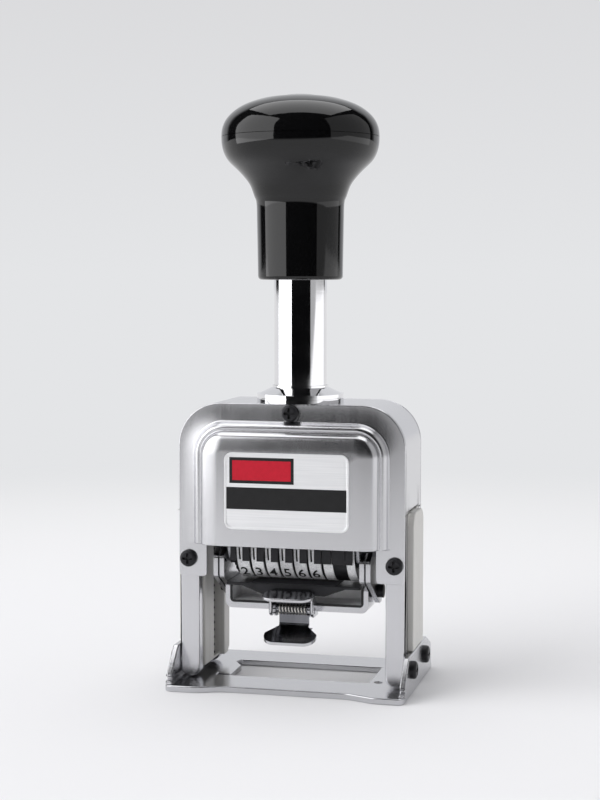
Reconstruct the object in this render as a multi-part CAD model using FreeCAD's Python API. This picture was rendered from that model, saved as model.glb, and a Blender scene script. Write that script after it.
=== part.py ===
"""Hand numbering machine: a sprung plunger lowers six number wheels through a window in its base.

Millimetres. +X is to the right, +Y to the back and +Z up. The model is drawn round the plunger's
axis, with z = 0 under the base, and every piece is moved by ROD_Y when it is written, so that the
finished part stands with its origin at the middle of the floor under it.
"""
import FreeCAD, Part
import math
import os

Vec = FreeCAD.Vector

# Clearances
FIT = 0.05            # radial clearance of a pin in its hole
AIR = 0.3             # air between pieces that move past each other
OVER = 2.0            # how far a cutting tool runs past the face that it cuts

# Knob and plunger tube
KNOB_R = 22.1
KNOB_FOOT_R = 11.9
KNOB_FOOT_ROUND = 1.0
KNOB_NECK_FLARE = 0.3  # the neck is this much wider than the foot
KNOB_NECK_H = 17.8
KNOB_FLARE_H = 21.8
KNOB_DOME_H = 11.6
KNOB_SEAM_GAP = 0.12
KNOB_CROWN_R = 0.8    # tiny flat at the very top
KNOB_SKIN = 3.0       # wall of the cap over the knob's screw
FLARE_SHARES = ((1.0, 1.0), (0.95, 0.83), (0.82, 0.71), (0.58, 0.60), (0.34, 0.485), (0.17, 0.37), (0.075, 0.25), (0.0, 0.0))
DOME_SHARES = ((1.0, 0.0), (0.989, 0.2), (0.945, 0.4), (0.85, 0.6), (0.73, 0.75), (0.585, 0.86), (0.415, 0.94), (0.23, 0.985))
TUBE_R = 7.5
TUBE_WALL = 1.2
TUBE_IN_KNOB = 28.0
SCREW_PLUG_H = 8.0    # threaded plug in the tube's upper end
KNOB_SCREW_R = 2.5
KNOB_SCREW_HEAD_R = 4.5
KNOB_SCREW_HEAD_H = 3.0
STROKE = 29.2

# Main frame: an arch with two front and two rear legs
FRAME_SHOULDER_R = 12.0
FRAME_FRONT = 11.0
FRAME_BACK = 13.0
FRAME_WALL = 1.8
FRAME_ROOF = 3.0
LEG_W = 5.55
LEG_DEPTH = 4.0
LEG_END_R = 2.4
HEADER_H = 6.5        # rim that the covers are screwed to, over the opening
HEADER_R = 7.0
HEAD_ROOM = 10.0      # free height between the carriage's nut and the collar's nut
SLOT_UNDER_HEAD = 2.8  # the guides' slots end this far under the carriage head at rest

# Covers
COVER_T = 1.0
LUG_W = 8.05
LUG_H = 9.5           # the lugs hang this far under the panel
PANEL_OVER_AXIS = 0.5
RIM_W = 4.35          # flat rim beside the raised part
RIM_TOP_W = 4.9       # and over it
BEAD_W = 7.9          # width of the slope between the rim and the panel
BEAD_CORE_R = 1.5     # radius of the panel's upper corners
PANEL_RISE = 4.5      # the panel stands this far in front of the rim
REAR_RISE = 1.6
PRESS_SHARES = ((0.0, 0.0), (0.10, 0.36), (0.22, 0.45), (0.32, 0.42), (0.40, 0.66), (0.50, 0.73), (1.0, 1.0))
PLATE_MARGIN = 2.4    # bare panel beside the name plate
PLATE_RISE = 5.0      # and under it
PLATE_TOP_MARGIN = 0.4
PLATE_R = 2.2
PLATE_T = 0.35
PLATE_EDGE = 0.5
PLATE_EDGE_RISE = 0.2
COVER_SCREW_INSET = 2.85
COVER_SCREW_RISE = 5.1
COVER_SCREW_DROP = 2.5
COVER_SCREW_R = 1.25
COVER_HEAD_R = 2.4
COVER_HEAD_H = 1.5

# Collar on the frame's top
COLLAR_H = 4.7
COLLAR_NECK_WALL = 0.45
COLLAR_NECK_H = 0.6
COLLAR_LEDGE = 0.5
COLLAR_WALL = 4.8     # flange, from the tube outwards
COLLAR_FLANGE_H = 2.3
COLLAR_GROOVE_H = 0.35
COLLAR_GROOVE_D = 0.35
COLLAR_SHANK_WALL = 1.1
COLLAR_NUT_WALL = 3.4
COLLAR_NUT_H = 3.5

# Finger plate behind the front cover
FINGER_W = 2.1
FINGER_T = 0.5
FINGER_REACH = 4.8    # the fingers hang this far under the panel
SHELF_RISE = 6.1      # the plate's shelf lies this far over the panel's lower edge
FLANGE_H = 5.0

# Base plate
BASE_T = 1.8
BASE_EAR_T = 1.6
BASE_FRONT = 19.0
FOOT_PROUD = 2.9      # the feet stand this far in front of the front edge
BASE_BACK = 25.5
BASE_CORNER_R = 2.0
FOOT_W = 8.85
FOOT_SWING_W = 7.0    # width over which the front edge swings out to a foot
FOOT_SWING_R = 8.0
WINDOW_SIDE_AIR = 2.0  # beside the side plates
WINDOW_FRONT = 6.0
WINDOW_BACK = 13.5
POINTER_TIP_IN = 1.6
POINTER_Y = 6.6
POINTER_FRONT_IN = 1.0
NOTCH_OUT = 1.0
NOTCH_DROP = 2.6
POINTER_ROOT_OUT = 2.2
POINTER_ROOT_DROP = 2.5
DIMPLE_OUT = 2.6
DIMPLE_Y = 4.6
DIMPLE_R = 1.1
DIMPLE_D = 0.4
EAR_TOP = 11.3
EAR_FOOT_H = 3.8
EAR_LEDGE = 2.0       # the ear's top edge reaches this far past the legs
EAR_BACK_LEAN = 0.5
EAR_BACK_Z = 8.0
EAR_R = 1.5
EAR_HOLE_BACK = 2.3
EAR_HOLE_Z = 3.2
EAR_HOLE_R = 0.6
BASE_SCREW_Z = 7.0
BASE_SCREW_R = 1.5
BASE_HEAD_R = 2.5
BASE_HEAD_H = 1.5
BASE_SCREW_LENGTH = 4.8
PAN_ROUND_SHARE = 0.6  # how much of a pan head's height its rounding takes
CROSS_W = 0.7         # cross slot in the screws
CROSS_L = 3.0
CROSS_D = 0.9

# Guides between the legs
GUIDE_RISE = 2.3        # over the legs' ends
GUIDE_OVER_HEAD = 3.0
GUIDE_SPACE = 0.8       # between the shaft's end and the rear rail
FRONT_RAIL_SET = 1.4    # the front rail stands this far outside the rear rail
GUIDE_FRONT_W = 6.05
GROOVE_W = 5.8
REAR_RAIL_D = 1.35
GUIDE_FLOOR = 0.8
GUIDE_REAR_R = 3.0
STRIP_RISE = 1.6        # the strip stands this far out of the frame's side
STRIP_DROP = 0.2
STRIP_R = 4.0

# Return springs in the grooves
SPRING_R = 1.4          # to the middle of the wire
SPRING_WIRE_R = 0.25
SPRING_TURNS = 20
SPRING_SEAT = 0.1

# Carriage
HEAD_OVER_WHEELS = 2.5
HEAD_H = 4.0
HEAD_LIP = 1.5          # the head reaches this far past the tube
SIDE_T = 1.2
SIDE_BOTTOM_DROP = 6.0
SIDE_R = 5.0
ARM_DROP = 3.5
SHOE_H = 7.0
SHOE_SKIN = 0.8
TUBE_NUT_WALL = 3.0
TUBE_NUT_H = 3.0
SIDE_SCREW_IN = 5.0     # from the head's front
SIDE_SCREW_HEAD_R = 1.8
SIDE_SCREW_HEAD_H = 0.8
SIDE_SCREW_R = 1.0
SIDE_SCREW_LENGTH = 4.0
TIE_R = 1.2
TIE_IN = 3.0
TIE_UNDER_HEAD = 0.6
DETENT_T = 0.8
DETENT_IN = 2.8         # from the head's back
DETENT_W = 2.6
DETENT_RAIL_H = 1.4

# Number wheels and what shares their shaft
SHAFT_R = 2.5
WHEEL_R = 10.5
WHEEL_PITCH = 4.12
WHEEL_COUNT = 6
WHEEL_GAP = 0.2
WHEEL_RIM_SHARE = 0.74  # part of a wheel's width that carries figures
RATCHET_STEP = 1.0      # the ratchet is this much smaller in radius than the wheel
RATCHET_TEETH = 10
RATCHET_NOTCH_R = 1.0
DIAL_STEP = 1.1
DIAL_T = 1.2
DIAL_SIDE_GAP = 0.54
DIAL_KNURLS = 24
DIAL_KNURL_R = 0.5
BLANK_W = 2.6
BLANK2_W = 2.34
INDEX_GAP = 0.1
INDEX_W = 3.8
INDEX_HUB_R = 5.0
INDEX_FRONT_DEG = 68.0   # the index arm's black front runs from this far above the front ...
INDEX_DOWN_DEG = 75.0    # ... to this far below it
PAWL_GAP = 0.5
PAWL_T = 1.4
PAWL_FROM_DEG = -16.0
PAWL_TO_DEG = 2.0
NUT_R = 3.6
NUT_H = 1.3
SHAFT_TAIL = 0.15       # the shaft stands this far out of its nuts

# Ink pad yoke
YOKE_AIR = 0.4
YOKE_T = 1.3
YOKE_SPACE = 0.5
YOKE_BOSS_R = 5.5
YOKE_PROUD = 0.5        # the arms' front edge stands this far in front of the wheels
YOKE_FRONT_RISE = 1.8
YOKE_FRONT_H = 6.0
YOKE_TAIL_Y = 2.7
YOKE_TAIL_LIFT = 0.1
YOKE_TAIL_H = 5.25
YOKE_TAIL_PAST = 1.0
YOKE_FRONT_R = 1.5
STRAP_GAP = 3.45
STRAP_T = 1.6
STRAP_HALF_D = 5.0
STRAP_R = 2.0
BACK_PLATE_T = 1.0
LINER_T = 0.7
TRAY_FLANGE_T = 0.8
TRAY_FRONT = 9.0
TRAY_BACK = 8.0
TRAY_WALL = 1.0
TRAY_DEPTH = 3.0
TRAY_SIDE = 4.4
TRAY_TAPER = 6.0
PAD_SIDE = 2.6
PAD_T = 1.6
YOKE_SCREW_Y = 2.0
YOKE_SCREW_DROP = 1.5
YOKE_SCREW_R = 1.0
YOKE_SCREW_HEAD_R = 1.9
YOKE_SCREW_HEAD_H = 1.3

# Thumb clip
TAB_REACH = 9.0
TAB_ROOT_DROP = 2.1
TAB_SLOPE = 1.3
TAB_T = 1.0
TAB_ROOT_HALF_W = 5.0
TAB_FLARE = 2.4
EAR_OUT = 6.4
EAR_T = 0.8
CLIP_REACH = 0.3
CLIP_DROP = 6.9
CLIP_PIN_R = 0.8
CLIP_EAR_R = 2.0
LOWER_T = 0.8
LOWER_RISE = 1.3        # the plate behind the spring ends this far over the pin
LOWER_DROP = 4.7        # and is bent forwards this far under it
LOWER_H = 4.3
LOWER_LEAN = 6.3
LOWER_NECK_HALF_W = 4.3
LOWER_FLARE = 3.15
LOWER_EAR_R = 1.6
COIL_R = 1.35           # to the middle of the torsion spring's wire
COIL_WIRE_R = 0.22
COIL_TURNS = 9
COIL_END_AIR = 0.45

# Worked out from the values above: places across, from the wheels outwards
WHEELS_W = WHEEL_PITCH * WHEEL_COUNT
RIGHT_STACK_W = WHEEL_GAP + BLANK_W + INDEX_GAP + INDEX_W + INDEX_GAP + BLANK2_W
SIDE_IN = (DIAL_SIDE_GAP + DIAL_T + WHEELS_W + RIGHT_STACK_W) / 2
SIDE_OUT = SIDE_IN + SIDE_T
WHEELS_LEFT = -SIDE_IN + DIAL_SIDE_GAP + DIAL_T
WHEEL_FIRST_X = WHEELS_LEFT + WHEEL_PITCH / 2
BLANK_X = WHEELS_LEFT + WHEELS_W + WHEEL_GAP
INDEX_X = BLANK_X + BLANK_W + INDEX_GAP
BLANK2_X = INDEX_X + INDEX_W + INDEX_GAP
YOKE_IN = SIDE_OUT + YOKE_AIR
YOKE_OUT = YOKE_IN + YOKE_T
ARM2_IN = YOKE_OUT + YOKE_SPACE
ARM2_OUT = ARM2_IN + YOKE_T
SHAFT_HALF = ARM2_OUT + FIT + NUT_H + SHAFT_TAIL
GUIDE_REAR_IN = SHAFT_HALF + GUIDE_SPACE
GUIDE_FRONT_IN = GUIDE_REAR_IN + FRONT_RAIL_SET
FRAME_HALF_W = GUIDE_FRONT_IN + GUIDE_FRONT_W
LEG_IN = FRAME_HALF_W - LEG_W
WALL_IN = FRAME_HALF_W - FRAME_WALL
SHOE_OUT = WALL_IN - AIR
SPRING_X = WALL_IN - SPRING_R - SPRING_WIRE_R - AIR
LUG_IN = FRAME_HALF_W - LUG_W
COVER_SCREW_X = FRAME_HALF_W - COVER_SCREW_INSET
BEAD_HALF_W = FRAME_HALF_W - RIM_W
BEAD_R = BEAD_W + BEAD_CORE_R
PANEL_HALF_W = BEAD_HALF_W - BEAD_W
PLATE_HALF_W = PANEL_HALF_W - PLATE_MARGIN
BASE_HALF_W = FRAME_HALF_W + BASE_EAR_T
FOOT_OUT = BASE_HALF_W - FOOT_W
FOOT_IN = FOOT_OUT - FOOT_SWING_W
WINDOW_HALF_W = SIDE_OUT + WINDOW_SIDE_AIR
POINTER_X = WINDOW_HALF_W - POINTER_TIP_IN
POINTER_NOTCH_X = WINDOW_HALF_W + NOTCH_OUT
POINTER_ROOT_X = WINDOW_HALF_W + POINTER_ROOT_OUT
DIMPLE_X = WINDOW_HALF_W + DIMPLE_OUT
TRAY_WIDE = YOKE_IN - TRAY_SIDE
TRAY_NARROW = TRAY_WIDE - TRAY_TAPER
PAD_HALF_W = TRAY_WIDE - PAD_SIDE
TAB_HALF_W = TAB_ROOT_HALF_W + TAB_FLARE
LOWER_EAR_OUT = EAR_OUT - EAR_T - AIR
LOWER_HALF_W = LOWER_NECK_HALF_W + LOWER_FLARE
COIL_PITCH = 2 * (LOWER_EAR_OUT - LOWER_T - COIL_END_AIR) / COIL_TURNS

# Worked out: radii about the plunger and the wheels
KNOB_NECK_R = KNOB_FOOT_R + KNOB_NECK_FLARE
COLLAR_NECK_R = TUBE_R + COLLAR_NECK_WALL
COLLAR_R = TUBE_R + COLLAR_WALL
COLLAR_CONE_R = COLLAR_R - COLLAR_LEDGE
COLLAR_SHANK_R = TUBE_R + COLLAR_SHANK_WALL
COLLAR_NUT_R = COLLAR_SHANK_R + COLLAR_NUT_WALL
HEAD_HALF_D = TUBE_R + HEAD_LIP
TUBE_NUT_R = TUBE_R + TUBE_NUT_WALL
RATCHET_R = WHEEL_R - RATCHET_STEP
DIAL_R = WHEEL_R - DIAL_STEP
PAWL_R = WHEEL_R + PAWL_GAP

# Worked out: heights, from the stamping plane upwards
AXIS_Z = STROKE + WHEEL_R + AIR
HEAD_BOTTOM = AXIS_Z + WHEEL_R + HEAD_OVER_WHEELS
HEAD_TOP = HEAD_BOTTOM + HEAD_H
TIE_Z = HEAD_BOTTOM - TIE_UNDER_HEAD - TIE_R
COLLAR_LOW = HEAD_TOP + TUBE_NUT_H + HEAD_ROOM
HEADER_Z = COLLAR_LOW + COLLAR_NUT_H
FRAME_TOP = HEADER_Z + HEADER_H
COLLAR_TOP = FRAME_TOP + COLLAR_H
KNOB_BOTTOM = COLLAR_TOP + STROKE + AIR
KNOB_FLARE_Z = KNOB_BOTTOM + KNOB_NECK_H
KNOB_SEAM_Z = KNOB_FLARE_Z + KNOB_FLARE_H
KNOB_TOP = KNOB_SEAM_Z + KNOB_DOME_H
TUBE_TOP = KNOB_BOTTOM + TUBE_IN_KNOB
LEG_BOTTOM = BASE_T + AIR
GUIDE_BOTTOM = LEG_BOTTOM + GUIDE_RISE
GUIDE_TOP = HEAD_TOP + GUIDE_OVER_HEAD
GROOVE_FLOOR_Z = GUIDE_BOTTOM + GUIDE_FLOOR
SLOT_TOP = HEAD_BOTTOM - SLOT_UNDER_HEAD
STRIP_TOP = SLOT_TOP - STRIP_DROP
SHOE_BOTTOM = HEAD_BOTTOM - ARM_DROP
PANEL_BOTTOM = AXIS_Z + PANEL_OVER_AXIS
LUG_BOTTOM = PANEL_BOTTOM - LUG_H
COVER_SCREW_Z = LUG_BOTTOM + COVER_SCREW_RISE
COVER_SCREW_TOP_Z = FRAME_TOP - COVER_SCREW_DROP
BEAD_TOP = FRAME_TOP - RIM_TOP_W
PLATE_BOTTOM = PANEL_BOTTOM + PLATE_RISE
PLATE_TOP = BEAD_TOP - BEAD_W - PLATE_TOP_MARGIN
FINGER_BOTTOM = PANEL_BOTTOM - FINGER_REACH
SHELF_Z = PANEL_BOTTOM + SHELF_RISE
TRAY_TOP = AXIS_Z - WHEEL_R - AIR
TRAY_BOTTOM = TRAY_TOP - TRAY_DEPTH
STRAP_TOP = TRAY_BOTTOM - STRAP_GAP
STRAP_BOTTOM = STRAP_TOP - STRAP_T
YOKE_TAIL_Z = STRAP_TOP + YOKE_TAIL_LIFT
YOKE_TAIL_TOP = STRAP_TOP + YOKE_TAIL_H
YOKE_FRONT_LOW = TRAY_TOP + YOKE_FRONT_RISE
YOKE_FRONT_TOP = YOKE_FRONT_LOW + YOKE_FRONT_H
YOKE_SCREW_Z = YOKE_TAIL_TOP - YOKE_SCREW_DROP
TAB_ROOT_Z = TRAY_TOP - TAB_ROOT_DROP
TAB_FRONT_Z = TAB_ROOT_Z - TAB_SLOPE
CLIP_Z = TRAY_TOP - CLIP_DROP
LOWER_TOP_Z = CLIP_Z + LOWER_RISE
LOWER_BEND_Z = CLIP_Z - LOWER_DROP
LOWER_BOTTOM_Z = LOWER_BEND_Z - LOWER_H

# Worked out: depths; names without BACK count towards the front
SLOT_FRONT = FRAME_FRONT - LEG_DEPTH
SLOT_BACK = FRAME_BACK - LEG_DEPTH
SEAT_Y = FRAME_FRONT + COVER_T
COVER_SCREW_LENGTH = SEAT_Y - COLLAR_SHANK_R - AIR
PANEL_Y = SEAT_Y + PANEL_RISE
FINGER_Y = WHEEL_R + AIR
SIDE_HALF_D = HEAD_HALF_D
SIDE_SCREW_Y = HEAD_HALF_D - SIDE_SCREW_IN
TIE_Y = HEAD_HALF_D - TIE_IN
DETENT_Y = HEAD_HALF_D - DETENT_IN
GROOVE_BACK = SLOT_BACK - FIT - REAR_RAIL_D
GROOVE_FRONT = GROOVE_BACK - GROOVE_W
GROOVE_MID = (GROOVE_FRONT + GROOVE_BACK) / 2
ARM_FRONT = GROOVE_FRONT + AIR + SHOE_SKIN
ARM_BACK = GROOVE_BACK - AIR - SHOE_SKIN
YOKE_FRONT = WHEEL_R + YOKE_PROUD
YOKE_TAIL_BACK = STRAP_HALF_D + YOKE_TAIL_PAST
TAB_FRONT = TRAY_FRONT + TAB_REACH
CLIP_Y = TRAY_FRONT + CLIP_REACH
LOWER_FRONT = CLIP_Y + LOWER_LEAN
LOWER_PLATE_Y = CLIP_Y - COIL_R - COIL_WIRE_R - AIR
BASE_FOOT_FRONT = BASE_FRONT + FOOT_PROUD
POINTER_FRONT = WINDOW_FRONT - POINTER_FRONT_IN
POINTER_ROOT_Y = WINDOW_FRONT - POINTER_ROOT_DROP
POINTER_NOTCH_Y = WINDOW_BACK - NOTCH_DROP
EAR_FRONT_TOP = FRAME_FRONT + EAR_LEDGE
EAR_BACK_TOP = FRAME_BACK + EAR_LEDGE
EAR_BACK_DROP = BASE_BACK - BASE_CORNER_R - EAR_BACK_LEAN
EAR_HOLE_Y = BASE_FOOT_FRONT - EAR_HOLE_BACK
BASE_SCREW_PLACES = (-(FRAME_FRONT - LEG_DEPTH / 2), FRAME_BACK - LEG_DEPTH / 2)
ROD_Y = (max(KNOB_R, BASE_FOOT_FRONT) - BASE_BACK) / 2


def box(x_range, y_range, z_range):
    """Block between two places on each axis."""
    low = Vec(x_range[0], y_range[0], z_range[0])
    high = Vec(x_range[1], y_range[1], z_range[1])
    size = high - low
    return Part.makeBox(size.x, size.y, size.z, low)


def rod_x(radius, x_range, y, z):
    """Cylinder along X."""
    return Part.makeCylinder(radius, x_range[1] - x_range[0], Vec(x_range[0], y, z), Vec(1, 0, 0))


def rod_y(radius, y_range, x, z):
    """Cylinder along Y."""
    return Part.makeCylinder(radius, y_range[1] - y_range[0], Vec(x, y_range[0], z), Vec(0, 1, 0))


def rod_z(radius, z_range, x=0, y=0):
    """Cylinder along Z."""
    return Part.makeCylinder(radius, z_range[1] - z_range[0], Vec(x, y, z_range[0]), Vec(0, 0, 1))


def mirrored(shape):
    """The same piece on the other side."""
    return shape.mirror(Vec(0, 0, 0), Vec(1, 0, 0))


def both(shape):
    """A piece and its twin on the other side."""
    return [shape, mirrored(shape)]


def joined(shapes):
    """One solid of overlapping or touching blocks."""
    whole = shapes[0].fuse(shapes[1:]) if len(shapes) > 1 else shapes[0]
    return whole.removeSplitter()


def place_xz(y):
    """Turns flat points into points of an upright plane that faces the front."""
    return lambda a, b: Vec(a, y, b)


def place_yz(x):
    """Turns flat points into points of an upright plane that faces the side."""
    return lambda a, b: Vec(x, a, b)


def place_xy(z):
    """Turns flat points into points of a level plane."""
    return lambda a, b: Vec(a, b, z)


def rounded_wire(points, radii, place):
    """Closed outline through flat points, with each corner rounded by its radius."""
    corners = []
    for index, point in enumerate(points):
        here = Vec(point[0], point[1], 0)
        back = Vec(points[index - 1][0], points[index - 1][1], 0) - here
        ahead_point = points[(index + 1) % len(points)]
        ahead = Vec(ahead_point[0], ahead_point[1], 0) - here
        back.normalize()
        ahead.normalize()
        radius = radii[index]
        if radius == 0:
            corners.append((here, None, here))
            continue
        half = back.getAngle(ahead) / 2
        inward = back + ahead
        inward.normalize()
        reach = radius / math.tan(half)
        middle = here + inward * (radius / math.sin(half) - radius)
        corners.append((here + back * reach, middle, here + ahead * reach))
    edges = []
    for index, (first, middle, last) in enumerate(corners):
        if middle is not None:
            arc = Part.Arc(place(first.x, first.y), place(middle.x, middle.y), place(last.x, last.y))
            edges.append(arc.toShape())
        follow = corners[(index + 1) % len(corners)][0]
        if last.distanceToPoint(follow) > FIT:
            edges.append(Part.LineSegment(place(last.x, last.y), place(follow.x, follow.y)).toShape())
    return Part.Wire(edges)


def prism(points, radii, place, along):
    """Solid of a rounded outline, pushed along a vector."""
    return Part.Face(rounded_wire(points, radii, place)).extrude(along)


def slab_y(points, radii, y_range):
    """Plate that faces the front, between two depths."""
    return prism(points, radii, place_xz(y_range[0]), Vec(0, y_range[1] - y_range[0], 0))


def slab_x(points, radii, x_range):
    """Plate that faces the side, between two places on X."""
    return prism(points, radii, place_yz(x_range[0]), Vec(x_range[1] - x_range[0], 0, 0))


def turned(edges, centre=Vec(0, 0, 0), axis=Vec(0, 0, 1)):
    """Solid of revolution of a closed profile in the XZ plane."""
    return Part.Face(Part.Wire(edges)).revolve(centre, axis, 360)


def lines(points):
    """Straight edges through points of the XZ plane."""
    places = [Vec(a, 0, b) for a, b in points]
    return [Part.LineSegment(first, last).toShape() for first, last in zip(places, places[1:])]


def arch(half_width, top, bottom, radius):
    """Points and radii of an upright arch with square lower corners."""
    points = [(-half_width, bottom), (half_width, bottom), (half_width, top), (-half_width, top)]
    return points, [0, 0, radius, radius]


def biarc(first, first_way, last, last_way):
    """Two arcs that join two points with given directions, without a kink."""
    span = last - first
    both_ways = first_way + last_way
    turn = 2 * (1 - first_way.dot(last_way))
    lean = span.dot(both_ways)
    reach = (math.sqrt(lean * lean + turn * span.dot(span)) - lean) / turn
    join = (first + last + (first_way - last_way) * reach) * 0.5
    edges = []
    for start, way, end in ((first, first_way, join), (last, last_way * -1, join)):
        chord = end - start
        half = chord * 0.5
        along = Vec(chord)
        along.normalize()
        aside = way - along * way.dot(along)
        aside.normalize()
        bend = way.getAngle(chord)
        middle = start + half + aside * (half.Length * math.tan(bend / 2))
        if start is first:
            edges.append(Part.Arc(start, middle, end).toShape())
        else:
            edges.append(Part.Arc(end, middle, start).toShape())
    return edges


def coil(radius, wire_radius, turns, pitch, name):
    """Wound wire on the Z axis from z = 0 up, in quarter turns; prints its least gap to itself."""
    steps = 4 * turns
    slope = pitch / (2 * math.pi)
    edges = []
    points = []
    for step in range(steps + 1):
        angle = math.pi / 2 * step
        place = Vec(radius * math.cos(angle), radius * math.sin(angle), slope * angle)
        way = Vec(-radius * math.sin(angle), radius * math.cos(angle), slope)
        way.normalize()
        points.append((place, way))
    for (first, first_way), (last, last_way) in zip(points, points[1:]):
        edges.extend(biarc(first, first_way, last, last_way))
    path = Part.Wire(edges)
    start, way = points[0]
    section = Part.Wire(Part.Circle(start, way, wire_radius).toShape())
    tube = path.makePipeShell([section], True, False)
    lean = math.atan2(pitch, 2 * math.pi * radius)
    print(name, "turns", turns, "least gap to itself", round(pitch * math.cos(lean) - 2 * wire_radius, 3))
    return tube


def pan_screw(head_r, head_h, shank_r, length):
    """Cross screw that points down, with the underside of its head at z = 0."""
    head = rod_z(head_r, (0, head_h))
    rim = [edge for edge in head.Edges if edge.BoundBox.ZMin > head_h / 2]
    head = head.makeFillet(head_h * PAN_ROUND_SHARE, rim)
    shank = rod_z(shank_r, (-length, head_h / 2))
    screw = head.fuse(shank)
    for angle in (0, 90):
        slot = box((-CROSS_L / 2, CROSS_L / 2), (-CROSS_W / 2, CROSS_W / 2), (head_h - CROSS_D, head_h + OVER))
        slot.rotate(Vec(0, 0, 0), Vec(0, 0, 1), angle)
        screw = screw.cut(slot)
    return screw.removeSplitter()


def hex_nut(radius, height, hole_r, z):
    """Six-sided nut on the plunger's axis."""
    points = [(radius * math.cos(math.radians(60 * i)), radius * math.sin(math.radians(60 * i))) for i in range(6)]
    body = prism(points, [0] * 6, place_xy(z), Vec(0, 0, height))
    return body.cut(rod_z(hole_r, (z - OVER, z + height + OVER)))


# Knob, its screw and the plunger tube

def flare_points():
    """Places on the knob's underside, from the seam down to the neck."""
    places = []
    for width, height in FLARE_SHARES:
        places.append(Vec(KNOB_NECK_R + (KNOB_R - KNOB_NECK_R) * width, 0, KNOB_FLARE_Z + KNOB_FLARE_H * height))
    return places


def knob_body():
    """Lower moulding of the knob: foot, neck and flare, bored for the tube."""
    flare = Part.BSplineCurve()
    places = flare_points()
    flare.interpolate(Points=places, InitialTangent=Vec(0, 0, -1), FinalTangent=Vec(0, 0, -1))
    foot = Vec(KNOB_FOOT_R, 0, KNOB_BOTTOM)
    seam_z = KNOB_SEAM_Z
    edges = [flare.toShape()]
    edges.append(Part.LineSegment(places[-1], foot).toShape())
    edges += lines([(foot.x, foot.z), (0, foot.z), (0, seam_z), (KNOB_R, seam_z)])
    body = turned(edges)
    rim = [edge for edge in body.Edges if edge.BoundBox.ZMax < KNOB_BOTTOM + FIT and edge.Length > KNOB_FOOT_R]
    body = body.makeFillet(KNOB_FOOT_ROUND, rim)
    body = body.cut(rod_z(TUBE_R + FIT, (KNOB_BOTTOM - OVER, TUBE_TOP)))
    body = body.cut(rod_z(KNOB_SCREW_R + FIT, (TUBE_TOP - OVER, KNOB_SEAM_Z)))
    counterbore_z = KNOB_SEAM_Z - KNOB_SCREW_HEAD_H
    return body.cut(rod_z(KNOB_SCREW_HEAD_R + AIR, (counterbore_z, KNOB_SEAM_Z + OVER)))


def knob_cap():
    """Upper moulding: a dome that hides the screw."""
    low = KNOB_SEAM_Z + KNOB_SEAM_GAP
    rise = KNOB_DOME_H - KNOB_SEAM_GAP
    crown = Vec(KNOB_CROWN_R, 0, low + rise)
    places = [Vec(KNOB_R * width, 0, low + rise * height) for width, height in DOME_SHARES] + [crown]
    dome = Part.BSplineCurve()
    dome.interpolate(Points=places, InitialTangent=Vec(0, 0, 1), FinalTangent=Vec(-1, 0, 0))
    cap = turned([dome.toShape()] + lines([(crown.x, crown.z), (0, crown.z), (0, low), (KNOB_R, low)]))
    hollow_top = low + rise - KNOB_SKIN
    return cap.cut(rod_z(KNOB_SCREW_HEAD_R + OVER, (low - OVER, hollow_top)))


def knob_screw():
    """Screw that ties the knob to the tube, under the cap."""
    head = rod_z(KNOB_SCREW_HEAD_R, (KNOB_SEAM_Z - KNOB_SCREW_HEAD_H, KNOB_SEAM_Z))
    shank = rod_z(KNOB_SCREW_R, (TUBE_TOP - SCREW_PLUG_H, KNOB_SEAM_Z - KNOB_SCREW_HEAD_H))
    return joined([head, shank])


def plunger_tube():
    """Tube from the carriage head up into the knob, closed at its top by a threaded plug."""
    tube = rod_z(TUBE_R, (HEAD_BOTTOM, TUBE_TOP))
    tube = tube.cut(rod_z(TUBE_R - TUBE_WALL, (HEAD_BOTTOM - OVER, TUBE_TOP - SCREW_PLUG_H)))
    return tube.cut(rod_z(KNOB_SCREW_R + FIT, (TUBE_TOP - SCREW_PLUG_H - OVER, TUBE_TOP + OVER)))


# Frame, collar and covers

def side_slots():
    """Tools for the slots between the front and the rear legs."""
    return box((LEG_IN - OVER, FRAME_HALF_W + OVER), (-SLOT_FRONT, SLOT_BACK), (-OVER, SLOT_TOP))


def main_frame():
    """Cast arch with its four legs."""
    header_z = HEADER_Z
    points = [(FRAME_HALF_W, LEG_BOTTOM), (FRAME_HALF_W, FRAME_TOP), (-FRAME_HALF_W, FRAME_TOP)]
    points += [(-FRAME_HALF_W, LEG_BOTTOM), (-LEG_IN, LEG_BOTTOM), (-LEG_IN, header_z)]
    points += [(LEG_IN, header_z), (LEG_IN, LEG_BOTTOM)]
    radii = [LEG_END_R, FRAME_SHOULDER_R, FRAME_SHOULDER_R, LEG_END_R, LEG_END_R, HEADER_R, HEADER_R, LEG_END_R]
    frame = slab_y(points, radii, (-FRAME_FRONT, FRAME_BACK))
    room_r = FRAME_SHOULDER_R - FRAME_WALL
    room = arch(WALL_IN, FRAME_TOP - FRAME_ROOF, -OVER, room_r)
    frame = frame.cut(slab_y(*room, (-SLOT_FRONT, SLOT_BACK)))
    frame = frame.cut(both(side_slots()))
    frame = frame.cut(rod_z(COLLAR_SHANK_R + FIT, (header_z - OVER, FRAME_TOP + OVER)))
    for x, z in ((COVER_SCREW_X, COVER_SCREW_Z), (-COVER_SCREW_X, COVER_SCREW_Z), (0, COVER_SCREW_TOP_Z)):
        reach = SEAT_Y
        frame = frame.cut(rod_y(COVER_SCREW_R, (-reach, -(reach - COVER_SCREW_LENGTH)), x, z))
        far = FRAME_BACK + COVER_T
        frame = frame.cut(rod_y(COVER_SCREW_R, (far - COVER_SCREW_LENGTH, far), x, z))
    for y in BASE_SCREW_PLACES:
        end = FRAME_HALF_W + STRIP_RISE - BASE_SCREW_LENGTH
        frame = frame.cut(both(rod_x(BASE_SCREW_R, (end, FRAME_HALF_W + OVER), y, BASE_SCREW_Z)))
    return frame


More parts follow.
